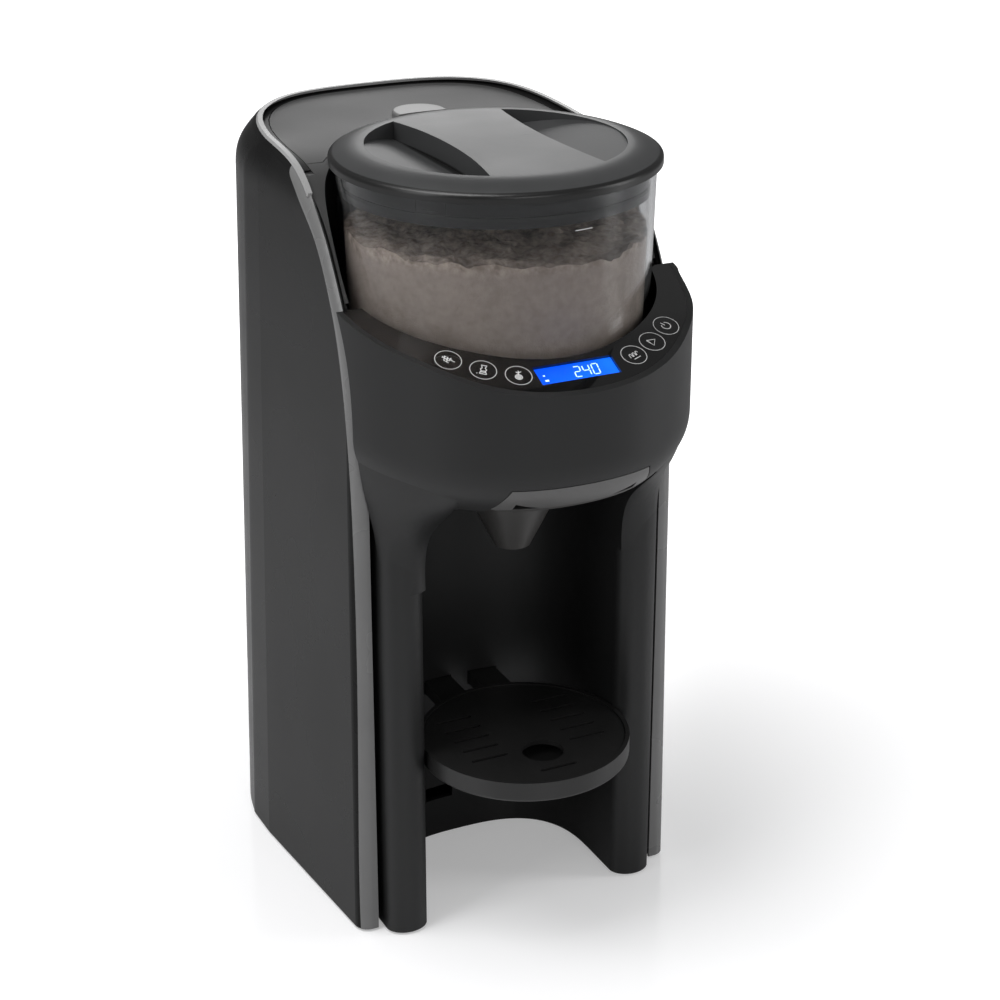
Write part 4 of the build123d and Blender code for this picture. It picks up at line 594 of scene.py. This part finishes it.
# %% Rings of the powder bed
powder_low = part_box("powder_charge")[0]
powder_foot_radius = 59.4 * millimetre
powder_wall_radius = 61.2 * millimetre
powder_line = 304 * millimetre
points_around = 260
wall_rings = 14
top_rings = 44
top_ring_rise = 0.03 * millimetre
last_ring = 0.4
wall_ring_rise = (powder_line - powder_low.z) / wall_rings
wall_ring_growth = 1 + (powder_wall_radius / powder_foot_radius - 1) / wall_rings

clear_selection()
bpy.ops.mesh.primitive_circle_add(vertices=points_around, radius=powder_foot_radius,
                                  location=(0, container_y, powder_low.z), fill_type="NOTHING")
powder_bed = bpy.context.object
powder_bed.name = "powder_bed"
bpy.ops.object.mode_set(mode="EDIT")
bpy.ops.mesh.select_all(action="SELECT")
for ring in range(wall_rings):
    bpy.ops.mesh.extrude_region_move(TRANSFORM_OT_translate={"value": (0, 0, wall_ring_rise)})
    bpy.ops.transform.resize(value=(wall_ring_growth, wall_ring_growth, 1))
for ring in range(top_rings):
    bpy.ops.mesh.extrude_region_move(TRANSFORM_OT_translate={"value": (0, 0, top_ring_rise)})
    rings_to_centre = top_rings - ring + last_ring
    shrink = (rings_to_centre - 1) / rings_to_centre
    bpy.ops.transform.resize(value=(shrink, shrink, 1))
bpy.ops.mesh.edge_face_add()
bpy.ops.mesh.select_all(action="DESELECT")
bpy.ops.object.mode_set(mode="OBJECT")
print("powder points:", len(powder_bed.data.vertices))

# %% [markdown]
# Three cloud textures of falling size heap and crumble the top.  A vertex group limits them to the
# top and fades them in just below the powder line, where the crumbs begin.

# %% Crumble the top
crumbs_begin = powder_line - 3.5 * millimetre
fade_height = 3 * millimetre
clouds_on_top = {
    "heap": {"size": 60 * millimetre, "strength": 9 * millimetre},
    "crumb": {"size": 9 * millimetre, "strength": 5.8 * millimetre},
    "grit": {"size": 2.8 * millimetre, "strength": 2.2 * millimetre},
}
settle(powder_bed)
top_group = powder_bed.vertex_groups.new(name="top")
for vertex in powder_bed.data.vertices:
    weight = min(1.0, max(0.0, (vertex.co.z - crumbs_begin) / fade_height))
    if weight > 0:
        top_group.add([vertex.index], weight, "REPLACE")
for label, cloud in clouds_on_top.items():
    clouds = bpy.data.textures.new("powder_" + label, "CLOUDS")
    clouds.noise_scale = cloud["size"]
    clouds.noise_depth = 2
    shove = powder_bed.modifiers.new(label, "DISPLACE")
    shove.texture = clouds
    shove.texture_coords = "LOCAL"
    shove.direction = "Z"
    shove.vertex_group = "top"
    shove.strength = cloud["strength"]
    shove.mid_level = 0.42
    bpy.ops.object.modifier_apply(modifier=label)
faces_outward(powder_bed)
bpy.ops.object.shade_smooth_by_angle(angle=math.radians(40))
heights = [vertex.co.z / millimetre for vertex in powder_bed.data.vertices]
print("powder from", round(min(heights), 1), "to", round(max(heights), 1), "mm")

# %% [markdown]
# Pressed powder is one soft beige.  On the loose crumbs the light on their faces and the shade in their
# gaps are painted, so their two colours, a painted light and a painted shade, lie much farther apart.
# The finish goes from one pair to the other at the powder line.

# %% The powder's finish
pressed_deep, pressed_pale = (0.33, 0.275, 0.24, 1), (0.4, 0.335, 0.295, 1)
# painted shade for the crumbs' gaps and painted light for their faces
crumb_painted_shade, crumb_painted_light = (0.22, 0.17, 0.14, 1), (0.6, 0.5, 0.43, 1)


def loose_powder(name):
    """Beige powder, pressed smooth below the powder line and crumbly above it, with painted light and
    shade on the crumbs.
    """
    material, shader = new_material(name)
    tree = material.node_tree
    crumb_mask = remap(tree, object_axis(tree, "Z"), powder_line - 4 * millimetre,
                       powder_line + 3 * millimetre)
    mottle = remap(tree, object_noise(tree, 260.0, detail=4, roughness=0.65), *middle_span)
    pressed = mixed_colour(tree, mottle, pressed_deep, pressed_pale)
    crumbly = mixed_colour(tree, mottle, crumb_painted_shade, crumb_painted_light)
    # above the powder line the crumbs' painted light and shade take over
    shade = mixed_colour(tree, crumb_mask, pressed, crumbly)
    tree.links.new(shade, shader.inputs["Base Color"])
    shader.inputs["Roughness"].default_value = 0.9
    add_bump(tree, shader, object_noise(tree, 900.0, detail=4, roughness=0.7), 0.4 * millimetre)
    return material


dress(powder_bed, loose_powder("powder_beige"))
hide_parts("powder_charge")
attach(powder_bed, "powder_container")
print("powder rides on powder_container")

# %% [markdown]
# ## Printing on the panel
#
# The keys are touch fields: a white ring and a symbol, printed on the gloss panel.  They are laid out
# flat in millimetres, as the printer's film is, and then laid on the sloping panel.  Each stroke is a
# thin curve that is pressed nearly flat and made a mesh.

# %% The panel's own plane
head_radius = 80 * millimetre
panel_front = (0, container_y - head_radius, 262 * millimetre)
panel_tilt = math.radians(23.27)
panel_place = Matrix.Translation(panel_front) @ Matrix.Rotation(panel_tilt, 4, "X")
key_radius = 74.6 * millimetre
key_angles = (-39.6, -29.2, -18.8, 20.6, 29.9, 39.2)
print_height = 50 * micron
print("panel tilts", round(math.degrees(panel_tilt), 2), "degrees")


# %% Strokes and arcs
def stroke(points, width, closed=False, resolution=2):
    """A round line through points, flat or in space; points and width are in millimetres."""
    curve = bpy.data.curves.new("stroke", "CURVE")
    curve.dimensions = "3D"
    curve.bevel_depth = width * millimetre / 2
    curve.bevel_resolution = resolution
    curve.use_fill_caps = True
    spline = curve.splines.new("POLY")
    spline.points.add(len(points) - 1)
    spline.use_cyclic_u = closed
    for point, (x, y, *z) in zip(spline.points, points):
        height = z[0] if z else 0
        point.co = (x * millimetre, y * millimetre, height * millimetre, 1)
    line = bpy.data.objects.new("stroke", curve)
    bpy.context.collection.objects.link(line)
    select_only(line)
    bpy.ops.object.convert(target="MESH")
    return bpy.context.object


def printed(points, width, closed=False):
    """A stroke on a flat film, pressed down to the thickness of the print."""
    line = stroke(points, width, closed)
    line.scale = (1, 1, 2 * print_height / (width * millimetre))
    bpy.ops.object.transform_apply(location=False, rotation=False, scale=True)
    return line


def arc(radius, start, end, steps=24, centre=(0, 0)):
    """Points along an arc, in millimetres and degrees."""
    turns = [math.radians(start + (end - start) * i / steps) for i in range(steps + 1)]
    return [(centre[0] + radius * math.cos(t), centre[1] + radius * math.sin(t)) for t in turns]


def on_panel(piece, angle):
    """Turns a flat print to a key's place on the ring of keys and lays it on the panel."""
    turn = math.radians(angle)
    x = key_radius * math.sin(turn)
    y = container_y - key_radius * math.cos(turn)
    up_the_slope = (y - panel_front[1]) / math.cos(panel_tilt)
    spot = Matrix.Translation((x, up_the_slope, print_height / 2))
    return settle(piece, panel_place @ spot @ Matrix.Rotation(turn, 4, "Z"))


print("keys at", key_angles, "degrees")

# %% Rings
ring_radius = 5.2
ring_line = 0.28
ring_points = 64
ring_end = 360 * (ring_points - 1) / ring_points
rings = []
for angle in key_angles:
    ring = printed(arc(ring_radius, 0, ring_end, ring_points - 1), ring_line, closed=True)
    rings.append(on_panel(ring, angle))
key_rings = join_pieces(rings, "key_rings")
dress(key_rings, white_print)
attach(key_rings, "machine")
print("rings:", len(rings))

# %% [markdown]
# The symbols are plain signs that many machines share: scoops of powder, a bottle with its level, a
# drop, heat, start and power.

# %% Symbols
symbol_line = 0.42
symbol_strokes = {
    "scoops": [[(-2.6, 0.2), (-1.2, 1.5)], [(-1.9, 1.7), (-1.5, -0.6)], [(-2.7, 1.0), (0.0, -0.4)],
               [(-0.6, 1.6), (-0.2, -1.2)], [(-1.0, 0.6), (1.2, 0.9)], [(0.7, 1.5), (0.4, -0.5)],
               [(0.9, 0.3), (2.7, 0.0)], [(-1.6, -0.9), (0.6, -1.5)]],
    "bottle": [[(-1.1, 2.6), (1.3, 2.6)],
               [(-0.8, 2.2), (-0.5, 1.1), (-1.1, 0.3), (-0.7, -0.7), (-1.3, -2.2)],
               [(1.0, 2.2), (0.7, 1.1), (1.3, 0.3), (0.9, -0.7), (1.5, -2.2)],
               [(-1.3, -2.3), (1.5, -2.3)], [(-0.9, -0.8), (1.0, -0.5)],
               [(-1.0, -1.4), (1.2, -1.2)], [(-2.4, -2.4), (-2.0, -2.4)]],
    "drop": [arc(1.35, 0, 360, 24, (0, -0.9)), arc(0.8, 0, 360, 16, (0, -0.9)),
             arc(0.25, 0, 360, 8, (0, -0.9)), [(0, 0.4), (0, 2.6)], [(0.1, 1.6), (1.1, 2.2)],
             [(-0.1, 1.2), (-1.0, 1.9)]],
    "heat": [[(-2.3, -0.8), (-1.9, 0.9), (-1.2, 1.1), (-0.9, 0.2), (-1.0, -0.8)],
             [(-0.6, -0.8), (-0.2, 0.9), (0.5, 1.1), (0.8, 0.2), (0.7, -0.8)],
             [(1.1, -0.8), (1.5, 0.9), (2.2, 1.1), (2.5, 0.3)], [(-1.6, -2.0), (1.8, -2.0)]],
    "start": [[(-1.3, 1.9), (2.0, 0.0), (-1.3, -1.9), (-1.3, 1.9)]],
    "power": [arc(1.9, 125, 415, 30), [(0, 0.5), (0, 2.6)]],
}
symbols = []
for angle, lines in zip(key_angles, symbol_strokes.values()):
    drawn = [printed(points, symbol_line) for points in lines]
    symbols.append(on_panel(join_pieces(drawn, "symbol"), angle))
key_symbols = join_pieces(symbols, "key_symbols")
dress(key_symbols, white_print)
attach(key_symbols, "machine")
print("symbols:", ", ".join(symbol_strokes))

# %% [markdown]
# ## Digits on the display
#
# A display of this kind draws each digit with seven bars.  The bars are strokes too, leaning a little
# to the right, and lie on the display's glass.

# %% Seven bars
digit_width = 2.6
digit_height = 5.6
bar_gap = 0.25
half_height = digit_height / 2
left_to_right = (bar_gap, digit_width - bar_gap)
upper = (digit_height - bar_gap, half_height + bar_gap)
lower = (half_height - bar_gap, bar_gap)
segments = {
    "a": [(x, digit_height) for x in left_to_right],
    "b": [(digit_width, y) for y in upper],
    "c": [(digit_width, y) for y in lower],
    "d": [(x, 0) for x in left_to_right],
    "e": [(0, y) for y in lower],
    "f": [(0, y) for y in upper],
    "g": [(x, half_height) for x in left_to_right],
}
digit_bars = {"2": "abged", "4": "fgbc", "0": "abcdef"}
print("bars of a digit:", len(segments))

# %% Digits and status marks
digits_start = -1.2
digit_pitch = 3.9
lean = 0.12
bar_line = 0.5
status_marks = (
    ([(-14.2, 0.6), (-13.4, 0.6)], 0.7),
    ([(-14.4, -2.2), (-12.9, -2.2)], 1.0),
)
bars = []
for column, digit in enumerate("240"):
    for bar_name in digit_bars[digit]:
        leaning = [(x + lean * y + digit_pitch * column + digits_start, y - half_height)
                   for x, y in segments[bar_name]]
        bars.append(printed(leaning, bar_line))
for points, width in status_marks:
    bars.append(printed(points, width))
digits = join_pieces(bars, "display_digits")
print("bars in all:", len(bars))

# %% [markdown]
# The glass may stand a little above or below the panel's plane.  Its highest point, seen from that
# plane, gives its level, so the digits lie just on it.

# %% Lay the digits on the glass
display_radius = 72.6 * millimetre
up_the_slope = (head_radius - display_radius) / math.cos(panel_tilt)
glass_points = [vertex.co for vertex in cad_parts["lcd_window"].data.vertices]
highest = max(glass_points, key=lambda point: point.z)
glass_level = (panel_place.inverted() @ highest).z
settle(digits, panel_place @ Matrix.Translation((0, up_the_slope, glass_level + print_height)))
dress(digits, digit_glow)
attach(digits, "machine")
print("display glass at", round(glass_level / millimetre, 2), "mm from the panel's plane")

# %% [markdown]
# ## Marks on the clear tub
#
# A printed fill line shows how far the tub may be filled, and a moulded rib shows where the lid's
# catch slides in.  The rib is of the tub's clear plastic, and its outline is drawn as dark strokes,
# painted shade for the rib's edges.  Both follow the tub's round wall, so they are strokes whose points
# lie on it.

# %% Points on the tub's wall
foot_radius = 62.0
top_radius = 64.5
stand_off = 0.03
degrees_per_step = 1.5
foot_height, top_height = tub_low.z / millimetre, tub_high.z / millimetre


def on_tub(angle, height):
    """A point on the tub's outer wall, in millimetres, at an angle from the front and a height."""
    share = (height - foot_height) / (top_height - foot_height)
    radius = foot_radius + (top_radius - foot_radius) * share + stand_off
    turn = math.radians(angle)
    return (radius * math.sin(turn), container_y / millimetre - radius * math.cos(turn), height)


def tub_stroke(spots, width):
    """A line through (angle, height) spots that follows the round wall between them."""
    points = []
    for (angle_a, height_a), (angle_b, height_b) in zip(spots, spots[1:]):
        steps = max(1, int(abs(angle_b - angle_a) / degrees_per_step))
        for step in range(steps + 1):
            share = step / steps
            points.append(on_tub(angle_a + (angle_b - angle_a) * share,
                                 height_a + (height_b - height_a) * share))
    return stroke(points, width, resolution=1)


print("tub's wall from radius", foot_radius, "to", top_radius, "mm")

# %% Fill line and catch mark
fill_height = 318.0
catch_left, catch_right = -53.5, -42.6
catch_foot, catch_top = 325.2, 330.0
fill_line = join_pieces([tub_stroke([(2.6, fill_height), (9.4, fill_height)], 0.45)], "fill_line")
dress(fill_line, white_print)
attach(fill_line, "powder_container")

catch_outline = tub_stroke([(catch_left, catch_top), (catch_left, catch_foot),
                            (catch_right, catch_foot), (catch_right, catch_top)], 0.35)
catch_slot = tub_stroke([(-51.0, 326.6), (-45.2, 326.6)], 0.3)
catch_mark = join_pieces([catch_outline, catch_slot], "catch_mark")
# painted shade: the clear rib's edges drawn as dark lines
rib_painted_shade = moulded_plastic("rib_painted_shade", grey(0.02), grey(0.03), polished=0.3, matt=0.4, dust=0)
dress(catch_mark, rib_painted_shade)
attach(catch_mark, "powder_container")
print("marks:", fill_line.name, catch_mark.name)

# %% [markdown]
# ## Studio
#
# The machine stands on a pale floor under large soft lamps.  The floor looks white to the camera
# because it adds a little of its own light for camera rays only, and the shadow still shows on it.
# That light grows with the distance from the machine, which leaves the shadow's core alone.


# %% Floor
near, far = 0.1, 0.75
glow_near, glow_far = 0.3, 1.1


def pale_floor(name):
    """A pale satin floor that glows for the camera only, more so away from the machine."""
    material, shader = new_material(name)
    tree = material.node_tree
    shader.inputs["Base Color"].default_value = (0.8, 0.8, 0.81, 1)
    shader.inputs["Roughness"].default_value = 0.18
    shader.inputs["Specular IOR Level"].default_value = 0.35
    where = tree.nodes.new("ShaderNodeTexCoord")
    distance = tree.nodes.new("ShaderNodeVectorMath")
    distance.operation = "LENGTH"
    tree.links.new(where.outputs["Object"], distance.inputs[0])
    away = remap(tree, distance.outputs["Value"], near, far, glow_near, glow_far)
    rays = tree.nodes.new("ShaderNodeLightPath")
    glow = product(tree, rays.outputs["Is Camera Ray"], away)
    tree.links.new(glow, shader.inputs["Emission Strength"])
    shader.inputs["Emission Color"].default_value = (1, 1, 1, 1)
    return material


clear_selection()
bpy.ops.mesh.primitive_plane_add(size=12, location=(0, 0, 0))
floor = bpy.context.object
floor.name = "studio_floor"
dress(floor, pale_floor("floor_pale"))
print("floor:", floor.name)

# %% [markdown]
# The camera sees a white world.  Other rays see it at a lower level, and glossy rays at the lowest,
# so that the black plastics keep their depth.

# %% World
seen_by_gloss = 0.13
seen_by_others = 0.3
world = bpy.data.worlds.new("studio")
bpy.context.scene.world = world
world.use_nodes = True
world_tree = world.node_tree
rays = world_tree.nodes.new("ShaderNodeLightPath")
unseen = remap(world_tree, rays.outputs["Is Glossy Ray"], 0.0, 1.0, seen_by_others, seen_by_gloss)
level = world_tree.nodes.new("ShaderNodeMath")
level.operation = "MAXIMUM"
world_tree.links.new(rays.outputs["Is Camera Ray"], level.inputs[0])
world_tree.links.new(unseen, level.inputs[1])
backdrop = world_tree.nodes["Background"]
backdrop.inputs["Color"].default_value = (1, 1, 1, 1)
world_tree.links.new(level.outputs["Value"], backdrop.inputs["Strength"])
print("world:", world.name)

# %% [markdown]
# Five area lamps light the machine.  The one above and to the left is the key light, the tall ones at
# the sides draw the soft edges of the casing, the front one opens the bay, and the small one behind
# catches the rim.


# %% Lamps
def soft_lamp(name, place, target, width, height, power):
    """A large area lamp that faces a target; its power is in watts."""
    lamp = bpy.data.lights.new(name, "AREA")
    lamp.shape = "RECTANGLE"
    lamp.size = width
    lamp.size_y = height
    lamp.energy = power
    holder = bpy.data.objects.new(name, lamp)
    bpy.context.collection.objects.link(holder)
    holder.location = place
    holder.rotation_mode = "QUATERNION"
    holder.rotation_quaternion = (Vector(place) - Vector(target)).to_track_quat("Z", "Y")


middle = (0, 0, 0.2)
upper_half = (0, 0, 0.25)
rim = (0, 0, 0.33)
soft_lamp("lamp_above", (-0.5, 0.0, 1.5), upper_half, width=0.8, height=1.0, power=13)
soft_lamp("lamp_left", (-1.5, -0.35, 0.9), middle, width=0.6, height=1.3, power=7)
soft_lamp("lamp_right", (1.5, -0.7, 0.7), middle, width=0.4, height=1.3, power=8)
soft_lamp("lamp_front", (-0.1, -1.9, 1.0), middle, width=1.0, height=0.8, power=6)
soft_lamp("lamp_back", (0.62, 1.35, 0.75), rim, width=0.5, height=0.5, power=1.6)

# %% [markdown]
# ## Camera
#
# A long lens from the front left and above, so that upright edges converge only a little.  A
# constraint could aim it, but its two angles are known, so they are written out.

# %% Camera
camera_place = (-0.39494, -0.85598, 0.57569)
degrees_down = 23.168
degrees_right = 25.579
camera_data = bpy.data.cameras.new("camera")
camera_data.sensor_width = 36.0
camera_data.lens = 84.86
camera_data.clip_start = 0.05
camera_data.clip_end = 30.0
camera = bpy.data.objects.new("camera", camera_data)
bpy.context.collection.objects.link(camera)
camera.location = camera_place
camera.rotation_euler = (math.radians(90 - degrees_down), 0, math.radians(-degrees_right))
bpy.context.scene.camera = camera
bpy.context.scene.view_settings.view_transform = "Standard"
print("camera at", tuple(round(v, 3) for v in camera.location))
